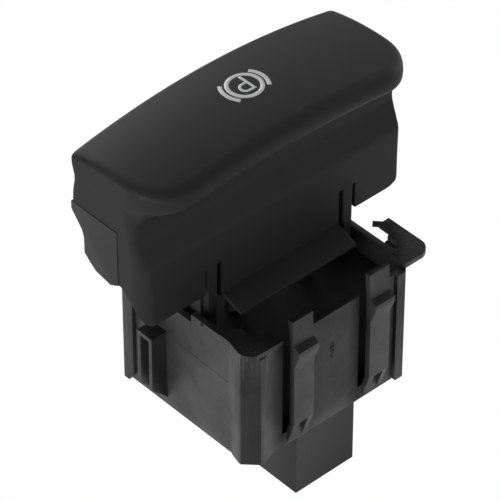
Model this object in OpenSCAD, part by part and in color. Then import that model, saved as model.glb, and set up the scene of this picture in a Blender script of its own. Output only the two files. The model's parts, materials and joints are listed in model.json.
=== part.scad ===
// Electric parking brake switch: a wide pull and push paddle on a snap-in console housing.
// Origin: middle of the housing in plan, on the top face of its flange. +X runs along the paddle,
// -Y is the side that the finger lip points to, +Z is up, out of the console.

/* [Housing] */
// Length of the housing over its side walls
case_l = 45.2; // [44.4:0.2:47]
// Width of the housing over its front and back walls
case_w = 38.8; // [38.2:0.2:42]
// Height of the housing from its open bottom to the flange top
case_h = 29; // [28.4:0.2:32]
// Wall thickness of the housing
wall = 1.4; // [1.2:0.1:1.6]
// How far the corner columns stand out of the walls
column_proud = 0.9; // [0.6:0.1:1.2]
// Width of a corner column along each wall
column_w = 6.4; // [5.4:0.2:6.8]
// Chamfer on the outer edges of the front left column and both back columns
column_chamfer = 2.8; // [2:0.2:3.4]
// Chamfer on the outer edge of the front right column
wide_chamfer = 5.6; // [4.6:0.2:7]
// Thickness of the corner flanges
flange_t = 1.2; // [1:0.1:1.5]
// Width of a flange arm
flange_w = 4; // [3.4:0.2:4.6]
// How far the right flange overhangs the right wall
flange_over = 3.3; // [2.6:0.1:4]
// Height of the slanted cut at the lower edges of the columns
column_foot = 1.4; // [0.8:0.1:2]
// Depth of the step down of the wall tops behind the flanges
wall_step = 1.1; // [0.8:0.1:1.6]

/* [Snap clips] */
// Distance between the middles of the two clips
clip_pitch = 20.4; // [19.6:0.2:21]
// Width of a clip
clip_w = 5.3; // [4.9:0.1:5.6]
// Thickness of a clip's stem
clip_t = 1.3; // [1.1:0.1:1.5]
// Free gap on each side of a clip in its wall slot
clip_gap = 1.35; // [1.1:0.05:1.5]
// How far the clip stem stands in front of the wall
clip_proud = 1.9; // [1.7:0.1:2.2]
// How far the hook stands in front of the stem
hook_proud = 1.3; // [1:0.1:1.6]
// Depth of the hook's top edge below the flange top
hook_drop = 2.9; // [2.5:0.1:3.4]
// Height of the release tab above the flange top
tab_h = 3.9; // [3:0.1:4.6]
// Width of one leg of the clip's forked foot
clip_leg = 1.35; // [1.1:0.05:1.5]

/* [Guide rib] */
// Width of the guide rib on the left wall
rib_w = 4.4; // [4:0.1:5]
// How far the guide rib stands out of the wall
rib_proud = 3.9; // [3.2:0.1:4.6]
// Height of the guide rib
rib_h = 13.5; // [11:0.5:14.5]
// Depth of the rib's top below the flange top
rib_drop = 9.5; // [8.5:0.5:10.5]
// Thickness of the rib's walls
rib_t = 0.95; // [0.8:0.05:1.2]
// Place of the rib's middle behind the middle of the housing
rib_y = 7.4; // [6:0.2:9]

/* [Connector] */
// Length of the connector shroud along the paddle
plug_l = 15.8; // [15:0.2:18]
// Width of the connector shroud
plug_w = 12; // [11:0.2:13]
// Length of the shroud below the housing
plug_h = 18.6; // [16:0.2:22]
// Wall thickness of the shroud
plug_wall = 1.3; // [1.1:0.1:1.5]
// Distance from the housing's front wall to the shroud's front face
plug_back = 2.6; // [2.2:0.1:4]
// Thickness of the base plate
base_t = 1.6; // [1.4:0.1:2]
// Number of terminals in a row
pin_count = 5; // [3:1:5]
// Distance between terminals
pin_pitch = 2.54; // [2.3:0.02:2.6]
// Thickness of a square terminal
pin_size = 0.64; // [0.5:0.02:0.8]
// Depth of the terminals' tips behind the shroud's mouth
pin_set_back = 6; // [5:0.5:8]

/* [Circuit board] */
// Thickness of the circuit board
board_t = 1.6; // [1.2:0.1:1.8]
// Diameter of a standoff under the board
post_d = 3.6; // [3.2:0.1:3.8]
// Diameter of a standoff's peg in the board
peg_d = 1.8; // [1.6:0.1:2]

/* [Switch units] */
// Distance of each switch unit from the middle along the paddle
unit_x = 9; // [8:0.2:10]
// Lever arm of the plungers about the pivot
lever = 5; // [4.6:0.1:5.2]
// Side of a square switch body
unit_side = 6.4; // [6:0.1:7]
// Height of a switch body
unit_h = 5; // [4.6:0.1:5.4]
// Diameter of a plunger's lower stem
stem_d = 2.5; // [2.3:0.1:2.7]
// Diameter of a plunger's upper shank
shank_d = 3; // [2.8:0.1:3.2]
// Diameter of a plunger's collar
collar_d = 5.2; // [5:0.1:5.6]
// Height that a return spring takes up at rest
spring_h = 4.2; // [3.8:0.1:4.8]
// Wire diameter of a return spring
wire_d = 0.4; // [0.3:0.02:0.5]
// Turns in a return spring
spring_turns = 5; // [4:1:6]

/* [Pivot] */
// Distance of the pivot behind the middle of the housing
pivot_y = 6; // [5.6:0.1:6.4]
// Depth of the pivot below the flange top
pivot_drop = 4; // [3.8:0.1:4.6]
// Diameter of a pivot pin
pin_d = 2.5; // [2:0.1:2.8]
// Running clearance round a pivot pin, on the radius
pin_run = 0.05; // [0.03:0.01:0.08]
// Thickness of a pivot arm
arm_t = 2.4; // [2.1:0.1:2.6]
// Thickness of a bearing ear
ear_t = 1.6; // [1.4:0.1:1.8]
// Side clearance of a pivot arm between its ears
arm_play = 0.2; // [0.15:0.05:0.3]
// Angle that the lip can be pulled up
pull_deg = 8; // [5:0.5:9]
// Angle that the lip can be pushed down
push_deg = 5; // [3:0.5:6]
// Width of a stop pad
pad_w = 3.2; // [2.6:0.2:3.6]
// Thickness of the rubber stop pads
pad_t = 0.8; // [0.6:0.1:1]

/* [Paddle] */
// Length of the paddle
paddle_l = 68.2; // [62:0.2:72]
// Offset of the paddle's middle along its length
paddle_x = -1.9; // [-3:0.1:0]
// Front face of the skirt, in front of the middle of the housing
skirt_out = 3.4; // [3.2:0.1:3.8]
// Depth of the finger neck behind the skirt's face
neck_in = 2.2; // [1.6:0.1:2.4]
// Overhang of the finger lip beyond the skirt's face
lip_out = 5.6; // [4.4:0.1:6.4]
// Distance of the paddle's back face behind the middle of the housing
back_out = 16.8; // [16.4:0.1:18]
// Height of the highest point of the paddle above the flange
top_h = 41; // [38:0.5:44]
// Height of the skirt's lower edge above the flange
skirt_lift = 3.8; // [3:0.1:4.4]
// Rounding of the lip's corners in plan
lip_corner = 9; // [7:0.5:10]
// Rounding of the lip's upper edge
top_round = 2; // [1.6:0.1:2.4]
// Rounding of the upper edge along the back
back_round = 1; // [0.8:0.1:1.4]
// Drop of the paddle's top from its middle to its ends
crown = 3; // [2:0.1:3.6]
// Radius of the arch of the paddle's top, seen from its end
arch_r = 57; // [50:1:70]
// Skin thickness of the paddle shell
skin = 1.8; // [1.5:0.1:2.1]
// Height of the parting line on the paddle's ends
seam_h = 24.5; // [22.9:0.1:26]
// Distance of the upright parting line behind the middle of the housing
seam_y = 3.4; // [3:0.1:3.8]
// Width of the parting line
seam_gap = 0.12; // [0.08:0.02:0.2]
// Reach of the ledge in front of the skirt
ledge_out = 5.4; // [4.4:0.1:6]
// Slope of the ledge
ledge_deg = 18; // [12:1:22]
// Thickness of the ledge at its front edge
ledge_t = 0.7; // [0.5:0.1:1]
// Width of the slit outside each tongue
slit_outer = 0.8; // [0.6:0.1:1]
// Width of the slit inside each tongue
slit_inner = 1.3; // [1:0.1:1.5]

/* [Symbol and light guide] */
// Outer diameter of the symbol's ring
symbol_d = 7.85; // [7:0.05:8.2]
// Stroke width of the symbol's ring and arcs
stroke = 0.88; // [0.6:0.02:0.9]
// Gap between the ring and the arcs beside it
arc_gap = 0.4; // [0.3:0.05:0.6]
// Height of the letter in the ring
letter_h = 4.8; // [4.2:0.1:5]
// Width of the letter
letter_w = 3.05; // [2.6:0.05:3.3]
// Height of the letter's bowl
bowl_h = 2.85; // [2.4:0.05:3]
// Stroke width of the letter
letter_stroke = 0.6; // [0.4:0.05:0.7]
// Distance of the symbol behind the middle of the housing
symbol_y = 5.2; // [4.6:0.1:5.6]
// Depth of the inlay in the paddle's top
inlay_depth = 0.9; // [0.7:0.1:1.1]
// Diameter of the light guide rods
guide_d = 3.6; // [3:0.2:4]

/* [Hidden] */
$fn = 48;
fit = 0.15;                              // clearance between moulded parts that slot together
slip = 0.02;                             // clearance of a press-in pin or terminal, per side
hx = case_l / 2;
hy = case_w / 2;
in_x = hx - wall;                        // inside of the housing along X
in_y = hy - wall;                        // inside of the housing along Y
base_z = -case_h;                        // open bottom of the housing
base_top = base_z + base_t;
pivot_z = -pivot_drop;
unit_y = [pivot_y - lever, pivot_y + lever];
plate_top = pivot_z - 4.3;               // upper face of the bearing frame's floor
plate_t = 1.2;
plate_z = plate_top - plate_t;
travel = lever * tan(max(pull_deg, push_deg));
play = 0.15;                             // clearance left at both ends of a plunger's travel
collar_t = 0.9;
unit_floor = 1.3;                        // thickness of a switch body's floor
edge_gap = 0.5;                          // clearance round the circuit board
baffle_t = 1.2;
baffle_y = -in_y + fit + 0.6 + baffle_t; // back face of the baffles behind the clip slots
collar_top = plate_z - travel - play;
collar_z = collar_top - collar_t;
unit_top = collar_z - spring_h;
board_top = unit_top - unit_h;
board_z = board_top - board_t;           // underside of the circuit board
bore_floor = board_top + unit_floor;     // floor of a switch body's bore
tip_gap = 0.06;                          // rest gap between a plunger tip and its foot
pad_top = plate_top + pad_t;
pad_over = 1.2;                          // reach of a pad beyond the stop that meets it
pad_gap = 0.1;                           // gap left between a stop face and its pad at the limit
arm_x = in_x - 0.2 - ear_t - arm_play - arm_t / 2;  // middle of a pivot arm and its tongue
ear_out_x = arm_x + arm_t / 2 + arm_play + ear_t / 2;
ear_in_x = arm_x - arm_t / 2 - arm_play - ear_t / 2;
ear_r = pin_d / 2 + 2.1;
boss_r = pin_d / 2 + 2.3;
skirt_y = -skirt_out;
neck_y = skirt_y + neck_in;
lip_y = skirt_y - lip_out;
back_y = back_out;
foot_y = back_out - 3.5;                 // back face below the flare
end_l = paddle_x - paddle_l / 2;
end_r = paddle_x + paddle_l / 2;
edge_z = skirt_lift;
floor_z = edge_z + 6.3;                  // underside of the carrier's floor at its lowest
deck_z = floor_z + 0.9;
deck_t = 1.9;
guide_x = paddle_x;
guide_split = pivot_z + 1.2;             // gap between the two light guides, near the pivot line
toe_y = neck_y + 0.1;                    // front edge of a pivot arm
heel_y = pivot_y + 7.5;                  // back edge of a pivot arm's heel
plug_y0 = -hy + plug_back;               // front face of the shroud
plug_y1 = plug_y0 + plug_w;
plug_mid = (plug_y0 + plug_y1) / 2;
plug_z = base_z - plug_h;
chip = [1.6, 2.5, 0.6];                  // size of a chip resistor
lip_z = top_h - 5;                       // heights of the lip, the neck and the flare's start
neck_z = skirt_lift + 21;
flare_z = skirt_lift + 14;
n_front = 14;                            // steps along the front and back of a ring
n_corner = 5;                            // steps round a front corner
n_end = 5;                               // steps along an end
n_back = 2;                              // steps round a back corner
n_ring = 2 * (n_front + n_corner + n_end + n_back);
n_right = n_front + n_corner + n_end + n_back;      // first point of a ring's back edge
top_y = 4.6;                             // line along which the top is highest
tongue_in = arm_x - arm_t / 2;
tongue_out = arm_x + arm_t / 2;
slit_top = edge_z + 6.6;
apron_x = tongue_in - slit_inner;
ledge_z = edge_z - 1.85;                 // top of the ledge where it meets the apron
apron_z = ledge_z - 1.1;                 // lower edge of the apron
black = [0.13, 0.13, 0.135];
soft_black = [0.09, 0.09, 0.095];
grained_black = [0.16, 0.16, 0.165];

corner_cut = in_x + in_y + wall * sqrt(2) + wide_chamfer - hx - hy - 2 * column_proud;
inner_cuts = [1.2, corner_cut, 1.2, 1.2];        // chamfers inside the housing's corners
plate_cuts = [1.3, corner_cut + 0.1, 1.3, 1.3];  // chamfers of the plates that fit in it

function lerp(a, b, t) = a + (b - a) * t;
function ease(v, a, b) = let (t = min(1, max(0, (v - a) / (b - a)))) t * t * (3 - 2 * t);

// Mirrors its children to both sides of the YZ plane
module both_sides() {
    children();
    mirror([1, 0, 0]) children();
}

// Extrudes an outline drawn in (y, z) along X from x0 to x1
module along_x(x0, x1) {
    translate([x0, 0, 0])
        rotate([90, 0, 90])
            linear_extrude(x1 - x0) children();
}

// Box given by its lowest and highest corners
module span(a, b) {
    translate(a) cube(b - a);
}

// Plan of a rectangle with cut corners: [front left, front right, back right, back left]
module cut_plan(x0, y0, x1, y1, c) {
    polygon([[x0 + c[0], y0], [x1 - c[1], y0], [x1, y0 + c[1]], [x1, y1 - c[2]],
             [x1 - c[2], y1], [x0 + c[3], y1], [x0, y1 - c[3]], [x0, y0 + c[0]]]);
}

// Block of one corner column, w wide on both walls with a chamfer c on its outer edge. It steps or
// ramps down to the walls, and its lower edges are cut off to a height e
module corner_column(sx, sy, w, c, ramp, e) {
    p = column_proud;
    reach = w - 0.6 * e;
    side = [[0, -flange_t], [w, -flange_t], [w, base_z + e], [reach, base_z], [0, base_z]];
    translate([sx * (hx + p), sy * (hy + p), 0])
        mirror([sx > 0 ? 1 : 0, 0, 0])
            mirror([0, sy > 0 ? 1 : 0, 0])
                intersection() {
                    translate([0, 0, base_z])
                        linear_extrude(case_h)
                            polygon([[c, 0], [w - ramp, 0], [w, p], [w, p + 0.3], [p + 0.3, w],
                                     [p, w], [0, w - ramp], [0, c]]);
                    rotate([90, 0, 0]) translate([0, 0, -w]) linear_extrude(w) polygon(side);
                    along_x(0, w) polygon(side);
                }
}

// Housing walls with proud corner columns, open at top and bottom
module case_walls() {
    c = column_chamfer;
    cuts = [for (k = [c, wide_chamfer, c, c]) max(0.1, k - 2 * column_proud)];
    difference() {
        union() {
            translate([0, 0, base_z])
                linear_extrude(case_h - flange_t) cut_plan(-hx, -hy, hx, hy, cuts);
            corner_column(-1, -1, column_w + 0.6, c, 3.4, column_foot);
            corner_column(1, -1, wide_chamfer + 2.2, wide_chamfer, 0, column_foot / 4);
            corner_column(1, 1, column_w, c, 0, column_foot);
            corner_column(-1, 1, column_w - 0.7, c, 0, column_foot + 0.9);
        }
        translate([0, 0, base_z - 1])
            linear_extrude(case_h + 2)
                cut_plan(-in_x, -in_y, in_x, in_y, inner_cuts);
    }
}

// Flange on the front left corner, flush with the wall on its left, and a raised wall run behind it
module flange_left() {
    x0 = -hx - column_proud;
    y0 = -hy - 0.6;
    x1 = -clip_edge() - 0.5;
    y1 = y0 + flange_w;
    arm_end = -hy + 9;
    r = 3.2;
    translate([0, 0, -flange_t])
        linear_extrude(flange_t)
            polygon(concat(
                [[x1, y0], [x1 - 0.3, y1], [x1 - 2.8, y1], [x1 - 4, y1 + 0.8], [x1 - 3.5, y1 + 3.8],
                 [-hx + 2.6, arm_end - 0.3], [-hx, arm_end], [-hx, y0 + r + 3.6]],
                [for (a = [180 : 15 : 270]) [x0 + r + r * cos(a), y0 + r + r * sin(a)]]));
    span([-hx, arm_end - 0.3, -flange_t - 0.1], [-hx + wall, -2.2, -0.2]);
}

// Inner edge of a clip slot's outer side, measured from the middle
function clip_edge() = clip_pitch / 2 + clip_w / 2 + clip_gap;

// Flange on the front right corner: overhangs the wall and ends in a thin hooked finger
module flange_right() {
    x1 = hx + flange_over;
    y0 = -hy - 0.1;
    r = 3;
    arm_end = -7.1;
    finger_t = flange_t / 2;
    translate([x1 - 2.4, arm_end - 0.1, -finger_t])
        rotate(42) translate([-0.62, -0.6, 0]) cube([1.24, 2.2, finger_t]);
    translate([0, 0, -flange_t])
        linear_extrude(flange_t) {
            translate([x1 - r, y0 + r]) circle(r);
            translate([clip_edge() + 4.3, y0]) square([x1 - r - clip_edge() - 4.3, flange_w]);
            translate([x1 - flange_w, y0 + r]) square([flange_w, hy - 10.9 - r + 0.1]);
            translate([x1 - 2.7, -11]) square([2.7, arm_end + 11]);
            translate([x1 - flange_w, y0 + 1]) square([flange_w - 1, flange_w]);
        }
}

// Snap clip: forked foot, stem, hook and release tab, as one side profile of width clip_w
module snap_clip(x) {
    f = -hy - clip_proud;                // front face of the stem
    b = f + clip_t;
    foot_top = base_z + 6.4;
    foot_end = base_z + 0.5;
    difference() {
        along_x(x - clip_w / 2, x + clip_w / 2)
            polygon([[f, foot_top], [-hy, foot_end], [-hy + 0.3, foot_end], [-hy + 0.3, base_z + 3.3],
                     [b, foot_top - 0.4], [b, -3.2], [b + 0.6, tab_h], [f + 0.6, tab_h],
                     [f + 0.3, -hook_drop + 0.7], [f - hook_proud, -hook_drop],
                     [f - hook_proud, -hook_drop - 1.2], [f, -hook_drop - 4.7]]);
        along_x(x - clip_w / 2 + clip_leg, x + clip_w / 2 - clip_leg)
            polygon([[f - 1, foot_top - 0.3], [b + 0.1, foot_top - 0.3], [-hy, base_z + 3.1],
                     [-hy, base_z - 1], [f - 1, base_z - 1]]);
    }
}

// Box-shaped guide rib on the left wall: two legs under a cap, open below
module guide_rib() {
    x0 = -hx - rib_proud;
    z1 = -rib_drop;
    z0 = z1 - rib_h;
    difference() {
        translate([0, rib_y + rib_w / 2, 0])
            rotate([90, 0, 0])
                linear_extrude(rib_w)
                    polygon([[x0, z1], [-hx + 0.2, z1], [-hx + 0.2, z0 - 4], [-hx, z0 - 4], [x0, z0]]);
        span([x0 - 1, rib_y - rib_w / 2 + rib_t, z0 - 5],
             [-hx, rib_y + rib_w / 2 - rib_t, z1 - rib_t]);
    }
}

module housing() {
    color(black) {
        difference() {
            union() {
                case_walls();
                flange_left();
                flange_right();
            }
            for (s = [-1, 1])
                span([s * clip_pitch / 2 - clip_w / 2 - clip_gap, -hy - 1.5, base_z + 3.5],
                     [s * clip_pitch / 2 + clip_w / 2 + clip_gap, -in_y + 0.1, 1]);
            span([-hx - 0.1, -2.2, -1.1 - wall_step], [-in_x + 0.1, hy - column_w + 0.9, 1]);
            span([-hx - 0.1, -5.6, -flange_t], [-in_x + 0.1, -5.1, 1]);
            span([in_x - 0.1, -10.9, -2.1 - wall_step], [hx + 0.1, hy - column_w + 0.9, -flange_t + 0.01]);
        }
        for (s = [-1, 1]) snap_clip(s * clip_pitch / 2);
        guide_rib();
    }
}

// Places its children at the four standoffs under the circuit board
module at_standoffs() {
    for (sx = [-1, 1], sy = [-1, 1])
        translate([sx * (in_x - 4.6), sy * (in_y - 4.2), 0]) children();
}

// Places its children at each terminal
module at_pins() {
    for (i = [0 : pin_count - 1], row = [-1, 1])
        translate([(i - (pin_count - 1) / 2) * pin_pitch, plug_mid + row * pin_pitch / 2, 0])
            children();
}

module connector_base() {
    px = plug_l / 2;
    color(grained_black)
        difference() {
            union() {
                translate([0, 0, base_z])
                    linear_extrude(base_t)
                        cut_plan(-in_x + fit, -in_y + fit, in_x - fit, in_y - fit, plate_cuts);
                span([-px, plug_y0, plug_z], [px, plug_y1, base_z]);
                along_x(-3, 3)
                    polygon([[plug_y1 - 0.1, plug_z + 5], [plug_y1 - 0.1, plug_z + 9],
                             [plug_y1 + 1.1, plug_z + 8.4], [plug_y1 + 1.1, plug_z + 7.6]]);
                at_standoffs() translate([0, 0, base_z]) cylinder(h = board_z - base_z, d = post_d);
                at_standoffs() translate([0, 0, base_z]) cylinder(h = board_top - base_z, d = peg_d);
            }
            span([-px + plug_wall, plug_y0 + plug_wall, plug_z - 1],
                 [px - plug_wall, plug_y1 - plug_wall, base_z]);
            for (s = [-1, 1])
                span([s * px * 0.55 - 0.9, plug_y0 + plug_wall - 0.5, plug_z - 1],
                     [s * px * 0.55 + 0.9, plug_y0 + plug_wall + 0.1, base_z - 3]);
            at_pins()
                translate([0, 0, base_z + base_t / 2])
                    cube([pin_size + 2 * slip, pin_size + 2 * slip, base_t + 1], center = true);
        }
}

module terminal_pins() {
    color([0.78, 0.66, 0.36])
        at_pins()
            translate([-pin_size / 2, -pin_size / 2, plug_z + pin_set_back])
                cube([pin_size, pin_size, board_top + 0.9 - plug_z - pin_set_back]);
}

module circuit_board() {
    color([0.10, 0.32, 0.18])
        difference() {
            translate([0, 0, board_z])
                linear_extrude(board_t)
                    cut_plan(-in_x + edge_gap, baffle_y + edge_gap, in_x - edge_gap, in_y - edge_gap,
                             plate_cuts);
            at_standoffs() translate([0, 0, board_z - 1]) cylinder(h = board_t + 2, d = peg_d + 0.1);
            at_pins() translate([0, 0, board_z - 1]) cylinder(h = board_t + 2, d = pin_size * 1.5 + 0.1);
        }
}

module board_resistors() {
    color([0.2, 0.2, 0.22])
        for (i = [0 : 3])
            translate([(i - 1.5) * chip[0] * 1.5 - chip[0] / 2, in_y - 4.6, board_top])
                cube(chip);
}

module symbol_led() {
    color([0.93, 0.92, 0.8])
        translate([guide_x, symbol_y, board_top]) {
            translate([-1.75, -1.4, 0]) cube([3.5, 2.8, 1.2]);
            translate([0, 0, 1.1]) cylinder(h = 0.4, d = 2.4);
        }
}

// Floor with guide holes, four legs on the board and two pairs of bearing ears
module bearing_frame() {
    color(grained_black)
        difference() {
            union() {
                translate([0, 0, plate_z])
                    linear_extrude(plate_t)
                        cut_plan(-in_x + fit, -in_y + fit, in_x - fit, in_y - fit, plate_cuts);
                for (sx = [-1, 1], sy = [-1, 1])
                    translate([sx * (in_x - 7.2), sy * (in_y - 2.4), board_top])
                        translate([-1.4, -1.4, 0]) cube([2.8, 2.8, plate_z - board_top + 0.1]);
                both_sides()
                    span([clip_pitch / 2 - clip_w / 2 - clip_gap - 0.6, baffle_y - baffle_t, base_top + 0.4],
                         [clip_edge() + 0.6, baffle_y, plate_z + 0.1]);
                for (x = [-ear_out_x, -ear_in_x, ear_in_x, ear_out_x])
                    along_x(x - ear_t / 2, x + ear_t / 2) {
                        translate([pivot_y, pivot_z]) circle(ear_r);
                        translate([pivot_y - ear_r, plate_top - 0.1])
                            square([2 * ear_r, pivot_z - plate_top + 0.1]);
                    }
            }
            along_x(-ear_out_x - ear_t, ear_out_x + ear_t)
                translate([pivot_y, pivot_z]) circle(pin_d / 2 + slip);
            for (x = [-unit_x, unit_x], y = unit_y)
                translate([x, y, plate_z - 1]) cylinder(h = plate_t + 2, d = shank_d + 0.16);
            translate([guide_x, symbol_y, plate_z - 1]) cylinder(h = plate_t + 2, d = guide_d + 0.1);
        }
}

module pivot_pin(s) {
    x0 = s * ear_in_x - ear_t / 2;
    x1 = s * ear_out_x - ear_t / 2;
    color([0.72, 0.73, 0.75])
        translate([min(x0, x1), pivot_y, pivot_z])
            rotate([0, 90, 0]) cylinder(h = ear_out_x - ear_in_x + ear_t, d = pin_d);
}

module pivot_pin_left() {
    pivot_pin(-1);
}

module pivot_pin_right() {
    pivot_pin(1);
}

// Height of a stop face at y that meets its pad when the paddle has turned by deg
function stop_z(y, deg) = pivot_z + (pad_top + pad_gap - pivot_z + abs(y - pivot_y) * sin(deg)) / cos(deg);

// A pair of stop pads between y0 and y1
module stop_pads(y0, y1) {
    color([0.22, 0.22, 0.22])
        both_sides()
            span([arm_x - arm_t / 2 - 0.1, y0, plate_top], [arm_x + arm_t / 2 + 0.1, y1, pad_top]);
}

module stop_pads_front() {
    stop_pads(toe_y - pad_over, toe_y + pad_w - pad_over);
}

module stop_pads_rear() {
    stop_pads(heel_y - pad_w + pad_over, heel_y + pad_over);
}

module light_guide_lower() {
    color([0.85, 0.9, 0.95, 0.6])
        translate([guide_x, symbol_y, 0]) {
            translate([0, 0, board_top + 1.8]) cylinder(h = guide_split - 1 - board_top - 1.8, d = guide_d);
            translate([0, 0, plate_top]) cylinder(h = 1, d = guide_d + 2);
        }
}

module light_guide_upper() {
    top = top_h - skin - 1.2;
    color([0.85, 0.9, 0.95, 0.6])
        translate([guide_x, symbol_y, 0]) {
            translate([0, 0, guide_split]) cylinder(h = top - 4.9 - guide_split, d = guide_d);
            translate([0, 0, deck_z + deck_t]) cylinder(h = 1.2, d = guide_d + 2.4);
            translate([0, 0, top - 5]) cylinder(h = 4.2, d1 = guide_d, d2 = symbol_d + 4);
            translate([0, 0, top - 0.8]) cylinder(h = 0.8, d = symbol_d + 4);
        }
}

// Sealed switch body with a blind bore that guides the plunger's stem
module switch_body(x, y) {
    color([0.18, 0.18, 0.2])
        translate([x, y, 0])
            difference() {
                translate([0, 0, board_top])
                    linear_extrude(unit_h)
                        cut_plan(-unit_side / 2, -unit_side / 2, unit_side / 2, unit_side / 2,
                                 [0.5, 0.5, 0.5, 0.5]);
                translate([0, 0, bore_floor]) cylinder(h = unit_h, d = stem_d + 0.12);
            }
}

module switch_body_fl() {
    switch_body(-unit_x, unit_y[0]);
}

module switch_body_fr() {
    switch_body(unit_x, unit_y[0]);
}

module switch_body_rl() {
    switch_body(-unit_x, unit_y[1]);
}

module switch_body_rr() {
    switch_body(unit_x, unit_y[1]);
}

// Plunger: stem in the switch body, collar on the spring, shank through the floor, domed tip
module plunger(x, y) {
    tip = pivot_z - tip_gap;
    r = shank_d / 2;
    color([0.88, 0.87, 0.84])
        translate([x, y, 0])
            rotate_extrude()
                polygon(concat(
                    [[0, bore_floor + travel + play], [stem_d / 2, bore_floor + travel + play],
                     [stem_d / 2, collar_z], [collar_d / 2, collar_z], [collar_d / 2, collar_top],
                     [r, collar_top]],
                    [for (a = [0 : 15 : 75]) [r * cos(a), tip - r + r * sin(a)]],
                    [[0, tip]]));
}

module plunger_fl() {
    plunger(-unit_x, unit_y[0]);
}

module plunger_fr() {
    plunger(unit_x, unit_y[0]);
}

module plunger_rl() {
    plunger(-unit_x, unit_y[1]);
}

module plunger_rr() {
    plunger(unit_x, unit_y[1]);
}

// Coil spring round a plunger's stem: a six-sided wire swept along a helix with closed ends
module return_spring(x, y) {
    sides = 6;
    steps = 14;
    r = stem_d / 2 + wire_d / 2 + 0.2;
    gap = 0.03;
    z0 = unit_top + wire_d / 2 + gap;
    z1 = collar_z - wire_d / 2 - gap;
    total = (spring_turns + 1) * steps;
    // Height along the coil: flat half turns at both ends, an even pitch between them
    function rise(i) = min(1, max(0, (i - steps / 2) / (total - steps)));
    rings = [for (i = [0 : total])
        let (a = 360 * i / steps, c = [r * cos(a), r * sin(a), lerp(z0, z1, rise(i))])
            for (k = [0 : sides - 1])
                let (b = 360 * (k + 0.5) / sides)
                    c + wire_d / 2 / cos(180 / sides) * [cos(a) * cos(b), sin(a) * cos(b), sin(b)]];
    faces = concat(
        [for (i = [0 : total - 1], k = [0 : sides - 1])
            let (m = (k + 1) % sides)
                [i * sides + k, i * sides + m, (i + 1) * sides + m, (i + 1) * sides + k]],
        [[for (k = [sides - 1 : -1 : 0]) k]],
        [[for (k = [0 : sides - 1]) total * sides + k]]);
    color([0.75, 0.76, 0.78])
        translate([x, y, 0]) polyhedron(rings, faces, convexity = 8);
}

module return_spring_fl() {
    return_spring(-unit_x, unit_y[0]);
}

module return_spring_fr() {
    return_spring(unit_x, unit_y[0]);
}

module return_spring_rl() {
    return_spring(-unit_x, unit_y[1]);
}

module return_spring_rr() {
    return_spring(unit_x, unit_y[1]);
}

// Fall of the paddle's top towards its ends, more along the back than along the lip
function end_fall(x, y) =
    let (u = (x - paddle_x) / (paddle_l / 2), v = (y - lip_y) / (back_y - lip_y))
        (crown + 0.7 * v) * u * u;

// Fall of the paddle's top to the front and back of its highest line
function arch_fall(y) = pow(y - top_y, 2) / (2 * arch_r);

function top_fall(x, y) = end_fall(x, y) + arch_fall(y);

// Plan of one ring of the paddle, anticlockwise from the front left corner's end
function ring_plan(yf, yb, half, rf, rb) = concat(
    [for (i = [0 : n_front]) [lerp(rf - half, half - rf, i / n_front), yf]],
    [for (i = [1 : n_corner]) let (a = 90 * i / n_corner - 90)
        [half - rf + rf * cos(a), yf + rf + rf * sin(a)]],
    [for (i = [1 : n_end]) [half, lerp(yf + rf, yb - rb, i / n_end)]],
    [for (i = [1 : n_back]) let (a = 90 * i / n_back) [half - rb + rb * cos(a), yb - rb + rb * sin(a)]],
    [for (i = [1 : n_front]) [lerp(half - rb, rb - half, i / n_front), yb]],
    [for (i = [1 : n_back]) let (a = 90 + 90 * i / n_back)
        [rb - half + rb * cos(a), yb - rb + rb * sin(a)]],
    [for (i = [1 : n_end]) [-half, lerp(yb - rb, yf + rf, i / n_end)]],
    [for (i = [1 : n_corner - 1]) let (a = 180 + 90 * i / n_corner)
        [rf - half + rf * cos(a), yf + rf + rf * sin(a)]]);
// Like ease, but slower to start
function sweep(v, a, b) = let (t = pow(min(1, max(0, (v - a) / (b - a))), 1.3)) t * t * (3 - 2 * t);

// Front and back of the paddle at a height: skirt, neck and lip, and flare, waist and top
function front_at(z) = skirt_y + neck_in * ease(z, flare_z, neck_z)
    - (neck_in + lip_out) * sweep(z, neck_z + 3, lip_z);
function back_at(z) = foot_y + 3.5 * ease(z, flare_z - 2, seam_h - 2)
    - 0.6 * ease(z, seam_h, seam_h + 6) + 0.6 * ease(z, seam_h + 7, top_h - 4);
function corner_at(z) = lerp(1, lip_corner, ease(z, neck_z + 3, lip_z));

// One ring of the paddle at a height, moved inwards by t
function side_ring(z, t) =
    [for (p = ring_plan(front_at(z) + t, back_at(z) - t, paddle_l / 2 - t,
                        max(0.7, corner_at(z) - t), 0.8))
        [p[0] + paddle_x, p[1], z - t * ease(z, lip_z, top_h)
         - ease(z, neck_z + 1, top_h - top_round) * end_fall(p[0] + paddle_x, p[1])
         - ease(z, lip_z - 2, top_h - top_round) * arch_fall(p[1])]];

// Rounding of the upper edge at a place along Y, less the skin's thickness t
function round_at(y, t) = max(0.3, lerp(top_round, back_round, (y - lip_y) / (back_y - lip_y)) - t);

// One ring on the rounded upper edge, at an angle of the rounding
function edge_ring(a, t) =
    let (kf = t + round_at(lip_y, t) * (1 - cos(a)), kb = t + round_at(back_y, t) * (1 - cos(a)),
         z = top_h - top_round)
        [for (p = ring_plan(front_at(z) + kf, back_at(z) - kb, paddle_l / 2 - kb,
                            max(0.6, corner_at(z) - kf), 0.8))
            [p[0] + paddle_x, p[1],
             top_h - t - round_at(p[1], t) * (1 - sin(a)) - top_fall(p[0] + paddle_x, p[1])]];

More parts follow.
